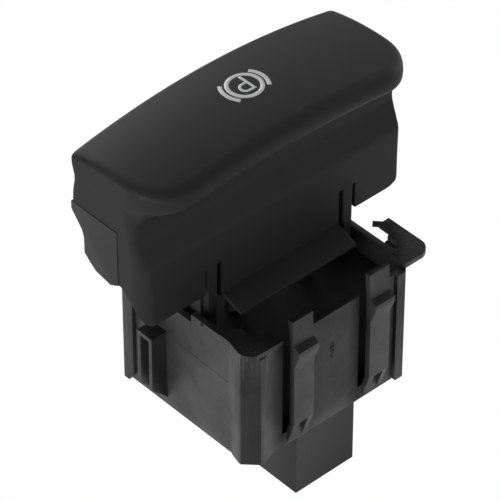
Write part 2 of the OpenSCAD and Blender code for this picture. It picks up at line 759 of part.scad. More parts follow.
// One ring of the top face, a share of the way from its edge to its middle line
function top_ring(share, t) =
    let (z = top_h - top_round, kb = t + round_at(back_y, t), kf = t + round_at(lip_y, t),
         yf = front_at(z) + kf, yb = back_at(z) - kb, mid = (yf + yb) / 2)
        [for (p = ring_plan(lerp(yf, mid, share), lerp(yb, mid, share), paddle_l / 2 - kb - 6 * share,
                            max(0.1, (corner_at(z) - kf) * (1 - share)), 0.8 * (1 - share) + 0.05))
            [p[0] + paddle_x, p[1], top_h - t - top_fall(p[0] + paddle_x, p[1])]];

// Closes a ring: quads across from front to back, fans at both ends
function lid(o, flip) =
    let (f = concat(
        [for (i = [0 : n_front - 1]) [o + i, o + i + 1, o + n_right + n_front - i - 1,
                                      o + n_right + n_front - i]],
        [for (m = [n_front + 1 : n_right - 1]) [o + n_front, o + m, o + m + 1]],
        [for (m = [n_right + n_front : n_ring - 2]) [o, o + m, o + m + 1]]))
        flip ? [for (q = f) [for (i = [len(q) - 1 : -1 : 0]) q[i]]] : f;

// The paddle's outer form, or the form moved inwards by t, as one closed surface of rings
module paddle_form(t, detail) {
    top = top_h - top_round;
    levels = concat([-9, flare_z],
                    [for (i = [1 : detail]) lerp(flare_z, neck_z, i / detail)],
                    [for (i = [0 : detail + 2]) lerp(neck_z + 3.4, lip_z, i / (detail + 2))],
                    [lerp(lip_z, top, 0.5)]);
    rings = concat([for (z = levels) side_ring(z, t)],
                   [for (a = [0 : 90 / detail : 90]) edge_ring(a, t)],
                   [for (s = [0.2, 0.45, 0.7, 0.92]) top_ring(s, t)]);
    points = [for (r = rings) each r];
    last = (len(rings) - 1) * n_ring;
    polyhedron(points, concat(
        lid(0, false),
        [for (k = [0 : len(rings) - 2], i = [0 : n_ring - 1])
            let (j = (i + 1) % n_ring, o = k * n_ring)
                [o + i, o + n_ring + i, o + n_ring + j, o + j]],
        lid(last, true)), convexity = 6);
}

// Everything below the lower outline of the skirt, seen from the front: skirt edge, slits,
// tapered tongues and apron
module skirt_outline() {
    low = -30;
    round_r = 3.2;
    tip = toe_tip();
    half = [[apron_x, low], [apron_x, slit_top + 0.3], [tongue_in, slit_top + 0.3],
            [tongue_in + 0.3, tip], [tongue_out - 0.3, tip], [tongue_out, slit_top],
            [tongue_out + slit_outer, slit_top], [tongue_out + slit_outer, edge_z]];
    left_end = [for (a = [90 : 15 : 180]) [end_l - 0.01 + round_r + round_r * cos(a),
                                           edge_z + round_r - round_r * sin(a)]];
    right_end = [for (a = [0 : 15 : 90]) [end_r + 0.01 - round_r + round_r * cos(a),
                                          edge_z + round_r - round_r * sin(a)]];
    polygon(concat(
        [for (i = [7 : -1 : 1]) [-half[i][0], half[i][1]]],
        [[-apron_x, apron_z], [apron_x, apron_z]],
        [for (i = [1 : 7]) half[i]],
        [for (i = [6 : -1 : 0]) right_end[i]],
        [[end_r + 2, edge_z + round_r], [end_r + 2, low], [end_l - 2, low], [end_l - 2, edge_z + round_r]],
        [for (i = [6 : -1 : 0]) left_end[i]]));
}

// Lowest point of a tongue, clear of the bearing frame's floor when pushed
function toe_tip() = stop_z(skirt_y, push_deg) + 0.25;

// Ring between two radii, moved by grow on both edges
module band(r_out, r_in, grow) {
    difference() {
        circle(r_out + grow);
        circle(r_in - grow);
    }
}

// Upright letter with a half-round bowl, its stem's left edge at x = 0 and its foot at y = 0
module letter_plan(grow) {
    r = bowl_h / 2;
    w = letter_stroke;
    translate([-grow, -grow]) square([w + 2 * grow, letter_h + 2 * grow]);
    difference() {
        union() {
            translate([letter_w - r, letter_h - r]) circle(r + grow);
            translate([0, letter_h - bowl_h - grow]) square([letter_w - r, bowl_h + 2 * grow]);
        }
        translate([letter_w - r, letter_h - r]) circle(r - w - grow);
        translate([w + grow, letter_h - bowl_h + w + grow])
            square([letter_w - r - w - grow, bowl_h - 2 * w - 2 * grow]);
    }
}

// Symbol for a parking brake: a P in a ring between two arcs, drawn about its middle
module symbol_plan(grow) {
    r = symbol_d / 2;
    arc = r + arc_gap;
    band(r, r - stroke, grow);
    difference() {
        band(arc + stroke, arc, grow);
        for (s = [-1, 1])
            polygon([[-9, s * (7.4 + grow)], [0, s * grow], [9, s * (7.4 + grow)]]);
    }
    translate([-letter_w * 0.44, -letter_h * 0.55]) letter_plan(grow);
}

module symbol_prism(grow) {
    translate([paddle_x, symbol_y, top_h - inlay_depth - (grow < 0 ? 0 : 0.02)])
        linear_extrude(3) rotate(180) symbol_plan(grow);
}

module paddle_shell() {
    color(soft_black) {
        difference() {
            paddle_form(0, 4);
            paddle_form(skin, 3);
            translate([0, seam_y, 0])
                rotate([90, 0, 0]) linear_extrude(30) skirt_outline();
            span([end_l - 1, seam_y, -12], [end_r + 1, back_y + 2, seam_h]);
            along_x(end_l - 1, end_r + 1)
                polygon([[skirt_y + skin, -12], [skirt_y + skin, edge_z + 4.4],
                         [neck_y + 3.6, edge_z + 8], [seam_y + 0.1, edge_z + 7.6], [seam_y + 0.1, -12]]);
            symbol_prism(0);
        }
        along_x(-apron_x, apron_x)
            polygon([[skirt_y + 0.6, apron_z], [skirt_y + 0.6, ledge_z], [skirt_y, ledge_z],
                     [skirt_y - ledge_out, ledge_z - ledge_out * tan(ledge_deg)],
                     [skirt_y - ledge_out, ledge_z - ledge_t - ledge_out * tan(ledge_deg)],
                     [skirt_y - 0.4, apron_z]]);
    }
}

module symbol_inlay() {
    color([0.72, 0.72, 0.73])
        intersection() {
            symbol_prism(-0.02);
            paddle_form(0, 4);
        }
}

// Side outline of the carrier's trough in (y, z), moved inwards by t
module carrier_outline(t) {
    g = seam_gap;
    f = foot_y;
    polygon([[seam_y + g - t * 3, seam_h - g + t], [back_y - t, seam_h - g + t],
             [back_y - t, seam_h - 2 + t * 0.4], [f + 0.6 - t, flare_z + 1.3 + t * 0.5],
             [f - t, flare_z - 0.5], [f - t, floor_z + 3.5 + t * 0.3],
             [f - 1.5 - t * 0.6, floor_z + 2.1 + t * 0.8], [f - 3.3 - t * 0.2, floor_z + 0.8 + t], [seam_y + 2.4, floor_z + t],
             [seam_y + 0.8, floor_z + 0.8 + t], [seam_y + g - t * 3, floor_z + 1.2 + t]]);
}

// Pivot arm in (y, z): plate from the deck to the pivot boss, with a toe and a heel as stops
module arm_outline() {
    toe = stop_z(toe_y, push_deg);
    heel = stop_z(heel_y, pull_deg);
    translate([pivot_y, pivot_z]) circle(boss_r);
    polygon([[toe_y, deck_z + 0.5], [toe_y, toe], [toe_y + 1.6, toe],
             [pivot_y - boss_r * 0.6, pivot_z - boss_r * 0.8],
             [pivot_y + boss_r * 0.6, pivot_z - boss_r * 0.8], [heel_y - 1.6, heel], [heel_y, heel],
             [heel_y, heel + 2], [pivot_y + boss_r, pivot_z + 3], [pivot_y + boss_r, deck_z + 0.5]]);
}

module paddle_carrier() {
    color(grained_black)
        difference() {
            union() {
                difference() {
                    along_x(end_l, end_r) carrier_outline(0);
                    along_x(end_l + skin, end_r - skin) carrier_outline(skin);
                }
                span([-tongue_out, toe_y, deck_z], [tongue_out, seam_y + 1.4, deck_z + deck_t]);
                span([-tongue_out, seam_y, deck_z], [tongue_out, foot_y - 1.2, deck_z + deck_t]);
                for (s = [-1, 1])
                    along_x(s * arm_x - arm_t / 2, s * arm_x + arm_t / 2) arm_outline();
                for (x = [-unit_x, unit_x], y = unit_y)
                    translate([x, y, pivot_z]) cylinder(h = deck_z + 1 - pivot_z, d = shank_d + 0.2);
            }
            along_x(-tongue_out - 1, tongue_out + 1)
                translate([pivot_y, pivot_z]) circle(pin_d / 2 + pin_run);
            translate([guide_x, symbol_y, floor_z - 1]) cylinder(h = 8, d = guide_d + 0.2);
        }
}

housing();
connector_base();
terminal_pins();
circuit_board();
board_resistors();
symbol_led();
bearing_frame();
pivot_pin_left();
pivot_pin_right();
stop_pads_front();
stop_pads_rear();
light_guide_lower();
light_guide_upper();
switch_body_fl();
switch_body_fr();
switch_body_rl();
switch_body_rr();
plunger_fl();
plunger_fr();
plunger_rl();
plunger_rr();
return_spring_fl();
return_spring_fr();
return_spring_rl();
return_spring_rr();
paddle_carrier();
paddle_shell();
symbol_inlay();
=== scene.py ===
"""Looks of an electric parking brake switch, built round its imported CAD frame.

The paddle's soft skin, its grained lower back, the black housing with its clips and the
connector shroud are dressed as moulded plastic. Pieces that the frame holds in plain form, such
as the paddle's doubly curved skin, are worked out again on fine grids and stand for their nodes.
"""

from __future__ import annotations

import json
import logging
import math
from dataclasses import dataclass, field
from enum import Enum

import bmesh
import bpy
import numpy as np
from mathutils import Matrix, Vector

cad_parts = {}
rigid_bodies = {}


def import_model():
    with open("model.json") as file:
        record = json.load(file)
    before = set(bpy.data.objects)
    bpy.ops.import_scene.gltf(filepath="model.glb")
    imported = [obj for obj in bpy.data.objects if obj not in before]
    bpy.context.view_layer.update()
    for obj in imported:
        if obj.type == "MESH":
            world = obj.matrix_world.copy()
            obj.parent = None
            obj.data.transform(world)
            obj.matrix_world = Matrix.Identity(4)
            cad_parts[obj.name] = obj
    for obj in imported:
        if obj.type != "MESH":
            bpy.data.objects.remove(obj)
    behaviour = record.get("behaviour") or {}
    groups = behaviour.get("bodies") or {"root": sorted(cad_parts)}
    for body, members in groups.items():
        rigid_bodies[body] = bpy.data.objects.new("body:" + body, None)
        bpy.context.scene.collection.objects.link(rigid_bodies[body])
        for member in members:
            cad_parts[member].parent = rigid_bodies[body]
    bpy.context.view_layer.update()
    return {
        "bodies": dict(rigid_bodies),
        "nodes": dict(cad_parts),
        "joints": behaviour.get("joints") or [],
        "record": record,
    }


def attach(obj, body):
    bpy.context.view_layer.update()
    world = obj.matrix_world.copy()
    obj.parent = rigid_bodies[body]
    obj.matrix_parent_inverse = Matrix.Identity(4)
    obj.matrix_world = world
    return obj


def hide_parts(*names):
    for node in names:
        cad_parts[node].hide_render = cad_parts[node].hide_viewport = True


log = logging.getLogger("brake_switch")
MM = 0.001
PER_METRE = 1000.0
BLACK = (0.0, 0.0, 0.0, 1.0)
WHITE = (1.0, 1.0, 1.0, 1.0)
Array = np.ndarray


class Side(Enum):
    """The two ends of the paddle."""

    LEFT = "left"
    RIGHT = "right"


# Node groups


def opaque(colour: tuple[float, ...], factor: float = 1.0) -> tuple[float, ...]:
    """The colour times a factor, with full alpha."""
    return tuple(factor * c for c in colour) + (1.0,)


def new_group(
    name: str, inputs: dict[str, tuple[str, object]], outputs: dict[str, str]
) -> bpy.types.NodeTree:
    """Makes an empty shader node group with named sockets.

    Args:
        name: the group's name.
        inputs: socket name to its type and its default value.
        outputs: socket name to its type.

    Returns:
        The group, with its input and output nodes in place.
    """
    group = bpy.data.node_groups.new(name, "ShaderNodeTree")
    for label, (kind, value) in inputs.items():
        group.interface.new_socket(label, in_out="INPUT", socket_type=kind).default_value = value
    for label, kind in outputs.items():
        group.interface.new_socket(label, in_out="OUTPUT", socket_type=kind)
    group.nodes.new("NodeGroupInput").name = "in"
    group.nodes.new("NodeGroupOutput").name = "out"
    return group


@dataclass
class Wiring:
    """Adds and joins the nodes of one tree."""

    tree: bpy.types.NodeTree

    def node(self, kind: str, **settings: object) -> bpy.types.Node:
        """Adds a node of a kind and sets its properties."""
        made = self.tree.nodes.new(kind)
        for label, value in settings.items():
            setattr(made, label, value)
        return made

    def join(self, source: object, target: bpy.types.NodeSocket) -> None:
        """Gives an input its source: a number, a colour or another node's output."""
        if isinstance(source, (int, float, tuple)):
            target.default_value = source
        else:
            self.tree.links.new(source, target)

    def maths(
        self, operation: str, a: object, b: object = None, c: object = None, clamp: bool = False
    ) -> object:
        """Works out one arithmetic step.

        Args:
            operation: the Math node's operation.
            a, b, c: its values, numbers or outputs.
            clamp: whether the result is kept between 0 and 1.

        Returns:
            The result's output.
        """
        made = self.node("ShaderNodeMath", operation=operation, use_clamp=clamp)
        for slot, value in zip(made.inputs, (a, b, c)):
            if value is not None:
                self.join(value, slot)
        return made.outputs[0]

    def window(self, value: object, low: float, high: float, soft: float) -> object:
        """A mask: 1 between two limits, falling straight to 0 over a soft edge outside them.

        Args:
            value: the measured output.
            low, high: the limits.
            soft: width of the edges.

        Returns:
            The mask's output.
        """
        rise = self.maths("MULTIPLY_ADD", value, 1.0 / soft, 1.0 - low / soft, clamp=True)
        fall = self.maths("MULTIPLY_ADD", value, -1.0 / soft, 1.0 + high / soft, clamp=True)
        return self.maths("MULTIPLY", rise, fall)

    def product(self, *values: object) -> object:
        """Multiplies outputs together."""
        made = values[0]
        for value in values[1:]:
            made = self.maths("MULTIPLY", made, value)
        return made

    def split(self, vector: object) -> tuple[object, ...]:
        """The outputs of a vector's three parts."""
        made = self.node("ShaderNodeSeparateXYZ")
        self.join(vector, made.inputs[0])
        return tuple(made.outputs)

    def stretched(self, place: object, scale: tuple[float, ...]) -> object:
        """The coordinates times a scale along each axis."""
        made = self.node("ShaderNodeMapping")
        self.join(place, made.inputs["Vector"])
        self.join(scale, made.inputs["Scale"])
        return made.outputs["Vector"]

    def noise(self, place: object, scale: object, detail: float, roughness: float = 0.5) -> object:
        """Adds a noise texture.

        Args:
            place: the coordinates' output.
            scale: how many cells a unit holds, a number or an output.
            detail: number of finer layers.
            roughness: how much each finer layer counts.

        Returns:
            The noise's output, which lies about 0.5.
        """
        made = self.node("ShaderNodeTexNoise")
        self.join(place, made.inputs["Vector"])
        self.join(scale, made.inputs["Scale"])
        self.join(detail, made.inputs["Detail"])
        self.join(roughness, made.inputs["Roughness"])
        return made.outputs["Fac"]

    def bump(self, height: object, depth: float) -> object:
        """The normal's output for a height that is worth a depth in millimetres."""
        made = self.node("ShaderNodeBump")
        self.join(depth * MM, made.inputs["Distance"])
        self.join(height, made.inputs["Height"])
        return made.outputs["Normal"]

    def blend(self, share: object, a: object, b: object) -> object:
        """Mixes two colours.

        Args:
            share: how much of the second colour shows, a number or an output.
            a, b: the colours, four numbers or an output.

        Returns:
            The mixed colour's output.
        """
        made = self.node("ShaderNodeMix", data_type="RGBA")
        for slot, value in zip((made.inputs[0], made.inputs[6], made.inputs[7]), (share, a, b)):
            self.join(value, slot)
        return made.outputs[2]

    def mix(self, share: object, a: object, b: object) -> object:
        """Mixes two shaders, of which the second shows by the share."""
        made = self.node("ShaderNodeMixShader")
        for slot, value in zip(made.inputs, (share, a, b)):
            self.join(value, slot)
        return made.outputs[0]


def new_material(name: str) -> tuple[bpy.types.Material, Wiring, object]:
    """Makes a material. Returns it with its wiring and its shader's inputs."""
    made = bpy.data.materials.new(name)
    made.use_nodes = True
    return made, Wiring(made.node_tree), made.node_tree.nodes["Principled BSDF"].inputs


class Grain:
    """Shared group for moulded plastic: a spark-eroded grain, faint mottling and rubbed patches."""

    smooth = 0.6  # softness of the cells' borders
    fine_rate, fine_detail = 1.7, 3.0  # the fine noise's rate against the cells', its layers
    height = (0.75, 0.55)  # shares of the cells and of the fine noise
    patch, patch_cut = (75.0, 4.0), (4.0, -1.9)  # rubbed patches: scale, layers; gain, offset
    broad = (130.0, 5.0, 0.6)  # the mottling's broad noise: scale, layers, roughness
    tone = (0.7, 0.3)  # shares of the broad and of the fine noise in the mottling
    _group: bpy.types.NodeTree | None = None

    @classmethod
    def group(cls) -> bpy.types.NodeTree:
        """The group, built once.

        The height is a share of smooth cells plus a share of fine noise, times one less the
        rubbed patches. The tone is 1 plus twice the mottling times a noise about zero.

        Returns:
            The node group, with outputs Height, Tone and Gloss.
        """
        if cls._group is not None:
            return cls._group
        kind = "NodeSocketFloat"
        group = new_group(
            "moulded grain",
            {"Cell": (kind, 0.35), "Mottle": (kind, 0.1), "Rub": (kind, 0.3)},
            {"Height": kind, "Tone": kind, "Gloss": kind},
        )
        w = Wiring(group)
        inside, outside = group.nodes["in"].outputs, group.nodes["out"].inputs
        place = w.node("ShaderNodeTexCoord").outputs["Object"]
        rate = w.maths("DIVIDE", PER_METRE, inside["Cell"])
        cells = w.node("ShaderNodeTexVoronoi", feature="SMOOTH_F1")
        w.join(cls.smooth, cells.inputs["Smoothness"])
        w.join(place, cells.inputs["Vector"])
        w.join(rate, cells.inputs["Scale"])
        fine = w.noise(place, w.maths("MULTIPLY", rate, cls.fine_rate), cls.fine_detail)
        patches = w.maths("MULTIPLY_ADD", w.noise(place, *cls.patch), *cls.patch_cut, clamp=True)
        rubbed = w.maths("MULTIPLY", patches, inside["Rub"])
        fine_height = w.maths("MULTIPLY", fine, cls.height[1])
        body = w.maths("MULTIPLY_ADD", cells.outputs["Distance"], cls.height[0], fine_height)
        w.join(w.product(body, w.maths("SUBTRACT", 1.0, rubbed)), outside["Height"])
        broad_tone = w.maths("MULTIPLY", w.noise(place, *cls.broad), cls.tone[0])
        sum_tone = w.maths("ADD", broad_tone, w.maths("MULTIPLY", fine, cls.tone[1]))
        uneven = w.maths("SUBTRACT", sum_tone, 0.5)
        twice_mottle = w.maths("MULTIPLY", inside["Mottle"], 2.0)
        w.join(w.maths("MULTIPLY_ADD", uneven, twice_mottle, 1.0), outside["Tone"])
        w.join(rubbed, outside["Gloss"])
        cls._group = group
        return group


class Measure(Enum):
    """What the limits of a mark or painted shade are measured on: millimetres, but for the last."""

    X = "place along X"
    Y = "place along Y"
    Z = "place along Z"
    LINE = "height over the scribed line's slope"
    LEFT = "distance from the middle line, less the place along X"
    CORNER = "sum of the distances from both middle lines"
    UP = "upward part of the normal"


class Texture(Enum):
    """What breaks a mark or a painted shade up."""

    EVEN = "nothing"
    STREAKS = "upright streaks"
    SCAR = "a speckled oval"


@dataclass(frozen=True)
class MarkOrShade:
    """A place on the housing with a tone of its own, from a mould mark or from painted shade.

    Attributes:
        change: share by which the tone rises, or falls where it is below zero.
        limits: where it is, by a measure's low and high limit and the width of its soft edges.
        texture: what breaks it up.
    """

    change: float
    limits: dict[Measure, tuple[float, float, float]]
    texture: Texture = Texture.EVEN


MARKS_AND_SHADE: dict[str, MarkOrShade] = {
    "scribed line on the left wall": MarkOrShade(-0.8, {
        Measure.LINE: (-10.46, -10.36, 0.04), Measure.Y: (-13.1, 2.0, 0.1),
        Measure.X: (-22.8, -22.5, 0.05)}),
    # painted shade: the left columns' chamfers are darkened, as light reaches them more weakly than
    # the walls
    "painted shade on the chamfers of the left columns": MarkOrShade(-0.42, {Measure.LEFT: (40.96, 60.0, 0.03)}),
    # painted shade: faces that look up are darkened, as little light falls on them from above
    "painted shade on faces that look up": MarkOrShade(-0.6, {Measure.UP: (0.85, 1.1, 0.25)}),
    # painted shade: the front wall darkens softly where it turns into each slot
    "painted shade where the wall turns into the right slot": MarkOrShade(-0.5, {
        Measure.X: (6.2, 6.3, 3.0), Measure.Y: (-19.5, -19.2, 0.1)}),
    "painted shade where the wall turns into the left slot": MarkOrShade(-0.5, {
        Measure.X: (-14.2, -14.1, 3.4), Measure.Y: (-20.4, -19.2, 0.1)}),
    # upright streaks that lighten the tone below the column tops and fade downward
    "lighter streaks below the column tops": MarkOrShade(0.7, {
        Measure.CORNER: (36.5, 60.0, 1.5), Measure.Z: (-2.0, 0.0, 7.0)}, Texture.STREAKS),
    "gate scar on the front wall": MarkOrShade(
        -0.95, {Measure.Y: (-19.5, -19.3, 0.05)}, Texture.SCAR),
    # painted shade: the front side of the guide rib is darkened
    "painted shade on the front side of the guide rib": MarkOrShade(-0.55, {
        Measure.X: (-30.0, -22.75, 0.1), Measure.Y: (5.15, 5.25, 0.05)}),
}


class MouldMarksAndShade:
    """Shared group for the mould's marks and painted shade, placed in the housing's millimetres."""

    line_slope = 0.0192  # rise of the scribed line along Y
    streak_rate, streak_detail = (2.6, 2.6, 0.10), 2.0
    streak_cut = (7.0, -3.6)  # gain and offset from noise to streaks
    scar_middle, scar_half = (-1.0, -11.0), (0.75, 2.7)  # along X and Z
    scar_edge = 2.5  # how steeply the scar fades
    speckle, speckle_cut = (1.9, 3.0), (6.0, -2.5)  # scale, layers; gain, offset
    _group: bpy.types.NodeTree | None = None

    @classmethod
    def scar(cls, w: Wiring, place: object, x: object, z: object) -> object:
        """Mask of the gate scar.

        It is the speckles times an oval that fades with the distance from the middle, where
        the distances along X and Z are shares of the half width and of the half height.

        Args:
            w: the group's wiring.
            place: the coordinates in millimetres.
            x: their part along X.
            z: their part along Z.

        Returns:
            The mask's output.
        """
        squares = []
        for value, middle, half in zip((x, z), cls.scar_middle, cls.scar_half):
            share = w.maths("MULTIPLY_ADD", value, 1.0 / half, -middle / half)
            squares.append(w.maths("MULTIPLY", share, share))
        far = w.maths("SQRT", w.maths("ADD", *squares))
        oval = w.maths("MULTIPLY_ADD", far, -cls.scar_edge, cls.scar_edge, clamp=True)
        speckle = w.noise(place, *cls.speckle)
        return w.product(oval, w.maths("MULTIPLY_ADD", speckle, *cls.speckle_cut, clamp=True))

    @classmethod
    def group(cls) -> bpy.types.NodeTree:
        """The group, built once.

        Its tone is the product of one factor an entry, a mark or a painted shade. The factor is 1
        plus the entry's change times its mask, and the mask is the product of its limits' windows
        and its texture.

        Returns:
            The node group, with the output Tone.
        """
        if cls._group is not None:
            return cls._group
        group = new_group("mould marks and painted shade", {}, {"Tone": "NodeSocketFloat"})
        w = Wiring(group)
        coords = w.node("ShaderNodeTexCoord").outputs
        scaled = w.node("ShaderNodeVectorMath", operation="SCALE")
        w.join(PER_METRE, scaled.inputs["Scale"])
        w.join(coords["Object"], scaled.inputs[0])
        place = scaled.outputs[0]
        x, y, z = w.split(place)
        far_x, far_y = w.maths("ABSOLUTE", x), w.maths("ABSOLUTE", y)
        measures = {
            Measure.X: x, Measure.Y: y, Measure.Z: z, Measure.UP: w.split(coords["Normal"])[2],
            Measure.LINE: w.maths("MULTIPLY_ADD", y, -cls.line_slope, z),
            Measure.LEFT: w.maths("SUBTRACT", far_y, x),
            Measure.CORNER: w.maths("ADD", far_x, far_y),
        }
        streaks = w.noise(w.stretched(place, cls.streak_rate), 1.0, cls.streak_detail)
        textures = {
            Texture.EVEN: [],
            Texture.STREAKS: [w.maths("MULTIPLY_ADD", streaks, *cls.streak_cut, clamp=True)],
            Texture.SCAR: [cls.scar(w, place, x, z)],
        }
        factors = []
        for mark in MARKS_AND_SHADE.values():
            windows = (w.window(measures[k], *limit) for k, limit in mark.limits.items())
            mask = w.product(*windows, *textures[mark.texture])
            factors.append(w.maths("MULTIPLY_ADD", mask, mark.change, 1.0))
        w.join(w.product(*factors), group.nodes["out"].inputs["Tone"])
        cls._group = group
        return group


SHEEN_ROUGH = 0.35
RUB_GLOSS = 0.12  # drop of the roughness where the grain is wholly rubbed
BARE_SPECULAR = 0.02  # specular level of a marked plastic below its coat


@dataclass(frozen=True)
class Plastic:
    """A moulded plastic finish.

    Attributes:
        name: the material's name.
        colour: base colour, linear.
        rough: roughness of the even surface.
        cell: size of a grain cell in millimetres.
        depth: height of the grain in millimetres.
        mottle: share by which the tone varies.
        rub: share of the grain that is lost in rubbed patches.
        sheen: weight of the soft-touch sheen.
        specular: the shader's specular level.
        clear: how much light passes through.
        marked_and_shaded: whether it carries the housing's marks from the mould and its painted
            shade.
    """

    name: str
    colour: tuple[float, float, float]
    rough: float = 0.5
    cell: float = 0.3
    depth: float = 0.02
    mottle: float = 0.12
    rub: float = 0.2
    sheen: float = 0.0
    specular: float = 0.5
    clear: float = 0.0
    marked_and_shaded: bool = False

    def material(self) -> bpy.types.Material:
        """Builds the material from the shared grain group.

        The colour is blended by half the tone from black to twice the finish's colour. The
        housing's plastic, with its marks from the mould and its painted shade, reflects by its
        coat, whose weight is the tone times twice the specular level.
        """
        made, w, shader = new_material(self.name)
        w.join(self.specular, shader["Specular IOR Level"])
        w.join(self.clear, shader["Transmission Weight"])
        w.join(self.sheen, shader["Sheen Weight"])
        w.join(SHEEN_ROUGH, shader["Sheen Roughness"])
        grain = w.node("ShaderNodeGroup", node_tree=Grain.group())
        for label, value in (("Cell", self.cell), ("Mottle", self.mottle), ("Rub", self.rub)):
            w.join(value, grain.inputs[label])
        half_tone = w.maths("MULTIPLY", grain.outputs["Tone"], 0.5)
        # the housing's marks from the mould and its painted shade set its colour and its coat here
        if self.marked_and_shaded:
            marks = w.node("ShaderNodeGroup", node_tree=MouldMarksAndShade.group())
            half_tone = w.maths("MULTIPLY", half_tone, marks.outputs["Tone"])
            coat = w.maths("MULTIPLY", half_tone, 4.0 * self.specular, clamp=True)
            w.join(BARE_SPECULAR, shader["Specular IOR Level"])
            w.join(self.rough, shader["Coat Roughness"])
            w.join(coat, shader["Coat Weight"])
        w.join(w.blend(half_tone, BLACK, opaque(self.colour, 2.0)), shader["Base Color"])
        rough = w.maths("MULTIPLY_ADD", grain.outputs["Gloss"], -RUB_GLOSS, self.rough)
        w.join(rough, shader["Roughness"])
        w.join(w.bump(grain.outputs["Height"], self.depth), shader["Normal"])
        return made


METAL_DETAIL = 3.0
METAL_SWING, METAL_SMOOTHER = 0.25, 0.12  # change of the roughness, drop for its middle
METAL_SHADE = (0.3, 0.35)  # gain and offset from the noise to the blend of both tones
METAL_TONES = (0.6, 1.3)  # factors of the colour
METAL_DEPTH = 0.004  # millimetres


@dataclass(frozen=True)
class Metal:
    """A plain metal finish with fine drawn or ground marks.

    Attributes:
        name: the material's name.
        colour: base colour, linear.
        rough: roughness between the marks.
        marks: stretch of the marks along X, Y and Z, in marks a millimetre.
    """

    name: str
    colour: tuple[float, float, float]
    rough: float = 0.3
    marks: tuple[float, float, float] = (6.0, 6.0, 0.4)

    def material(self) -> bpy.types.Material:
        """Builds the material: stretched noise varies the roughness, the tone and the height."""
        made, w, shader = new_material(self.name)
        w.join(1.0, shader["Metallic"])
        place = w.node("ShaderNodeTexCoord").outputs["Object"]
        rates = tuple(PER_METRE * m for m in self.marks)
        noise = w.noise(w.stretched(place, rates), 1.0, METAL_DETAIL)
        rough = w.maths("MULTIPLY_ADD", noise, METAL_SWING, self.rough - METAL_SMOOTHER)
        w.join(rough, shader["Roughness"])
        shade = w.maths("MULTIPLY_ADD", noise, *METAL_SHADE)
        low, high = (opaque(self.colour, factor) for factor in METAL_TONES)
        w.join(w.blend(shade, low, high), shader["Base Color"])
        w.join(w.bump(noise, METAL_DEPTH), shader["Normal"])
        return made


# Name, colour, roughness, grain cell, grain depth and mottling, then what else the finish has
HOUSING = Plastic(
    "housing plastic", (0.020, 0.020, 0.0206), 0.42, 0.46, 0.036, 0.75, rub=0.25, specular=0.27,
    marked_and_shaded=True)
SHROUD = Plastic(
    "shroud plastic", (0.015, 0.015, 0.0153), 0.42, 0.40, 0.012, 0.15, rub=0.3, specular=0.12)
SOFT_SKIN = Plastic(
    "soft-touch skin", (0.0112, 0.0112, 0.0115), 0.55, 0.26, 0.008, 0.16, rub=0.1, sheen=0.01,
    specular=0.13)
GRAINED = Plastic(
    "grained lower back", (0.023, 0.023, 0.0236), 0.52, 0.36, 0.028, 0.2, rub=0.1, specular=0.13)
FRAME = Plastic(
    "bearing frame plastic", (0.009, 0.009, 0.0093), 0.55, 0.3, 0.012, 0.10, specular=0.06)
UNIT = Plastic("switch body plastic", (0.035, 0.035, 0.038), 0.45, 0.3, 0.01, 0.10)
ACETAL = Plastic("plunger acetal", (0.09, 0.09, 0.085), 0.35, 0.5, 0.004, 0.05, specular=0.45)
RUBBER = Plastic("stop rubber", (0.020, 0.020, 0.020), 0.75, 0.2, 0.02, 0.2, sheen=0.1)
SYMBOL = Plastic("symbol grey", (0.40, 0.40, 0.405), 0.42, 0.2, 0.003, 0.05)
BOARD = Plastic("solder mask", (0.012, 0.10, 0.045), 0.3, 0.8, 0.01, 0.25)
CHIP = Plastic("resistor glaze", (0.02, 0.02, 0.024), 0.3, 0.4, 0.004, 0.1)
RESIN = Plastic("lamp resin", (0.75, 0.68, 0.30), 0.25, 0.4, 0.003, 0.08)
CLEAR = Plastic(
    "clear acrylic", (0.72, 0.75, 0.76), 0.12, 0.5, 0.002, 0.03, specular=0.55, clear=0.85)
STEEL = Metal("ground pin steel", (0.56, 0.56, 0.58), rough=0.28, marks=(0.4, 6.0, 6.0))
SPRING = Metal("spring wire", (0.50, 0.50, 0.52), rough=0.32, marks=(3.0, 3.0, 3.0))
BRASS = Metal("tinned brass", (0.66, 0.58, 0.38), rough=0.30, marks=(6.0, 6.0, 0.5))


# Mesh helpers


def grid_faces(rows: int, columns: int, closed: bool) -> Array:
    """Quads between the points of a grid stored row by row.

    Args:
        rows: number of rows.
        columns: number of points in a row.
        closed: whether the last column joins the first.

    Returns:
        An array of four indices a face, with shape (rows - 1, spans, 4).
    """
    spans = columns if closed else columns - 1
    i, j = np.meshgrid(np.arange(rows - 1), np.arange(spans), indexing="ij")
    k = (j + 1) % columns
    near, far = i * columns, (i + 1) * columns
    return np.stack([near + j, near + k, far + k, far + j], axis=-1)


def make_piece(
    name: str, points: Array, faces: list, material: bpy.types.Material, body: str
) -> bpy.types.Object:
    """Makes a mesh piece that rides on a body.

    Args:
        name: the piece's name.
        points: vertices in millimetres, one row each.
        faces: vertex indices of each face.
        material: the piece's finish.
        body: the body that it rides on.

    Returns:
        The new object, at the origin, with smooth faces.
    """
    mesh = bpy.data.meshes.new(name)
    mesh.from_pydata((np.asarray(points) * MM).tolist(), [], [list(map(int, f)) for f in faces])
    mesh.materials.append(material)
    mesh.polygons.foreach_set("use_smooth", np.ones(len(mesh.polygons), bool))
    mesh.update()
    made = bpy.data.objects.new(name, mesh)
    bpy.context.scene.collection.objects.link(made)
    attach(made, body)
    log.info("%s: %d faces", name, len(mesh.polygons))
    return made


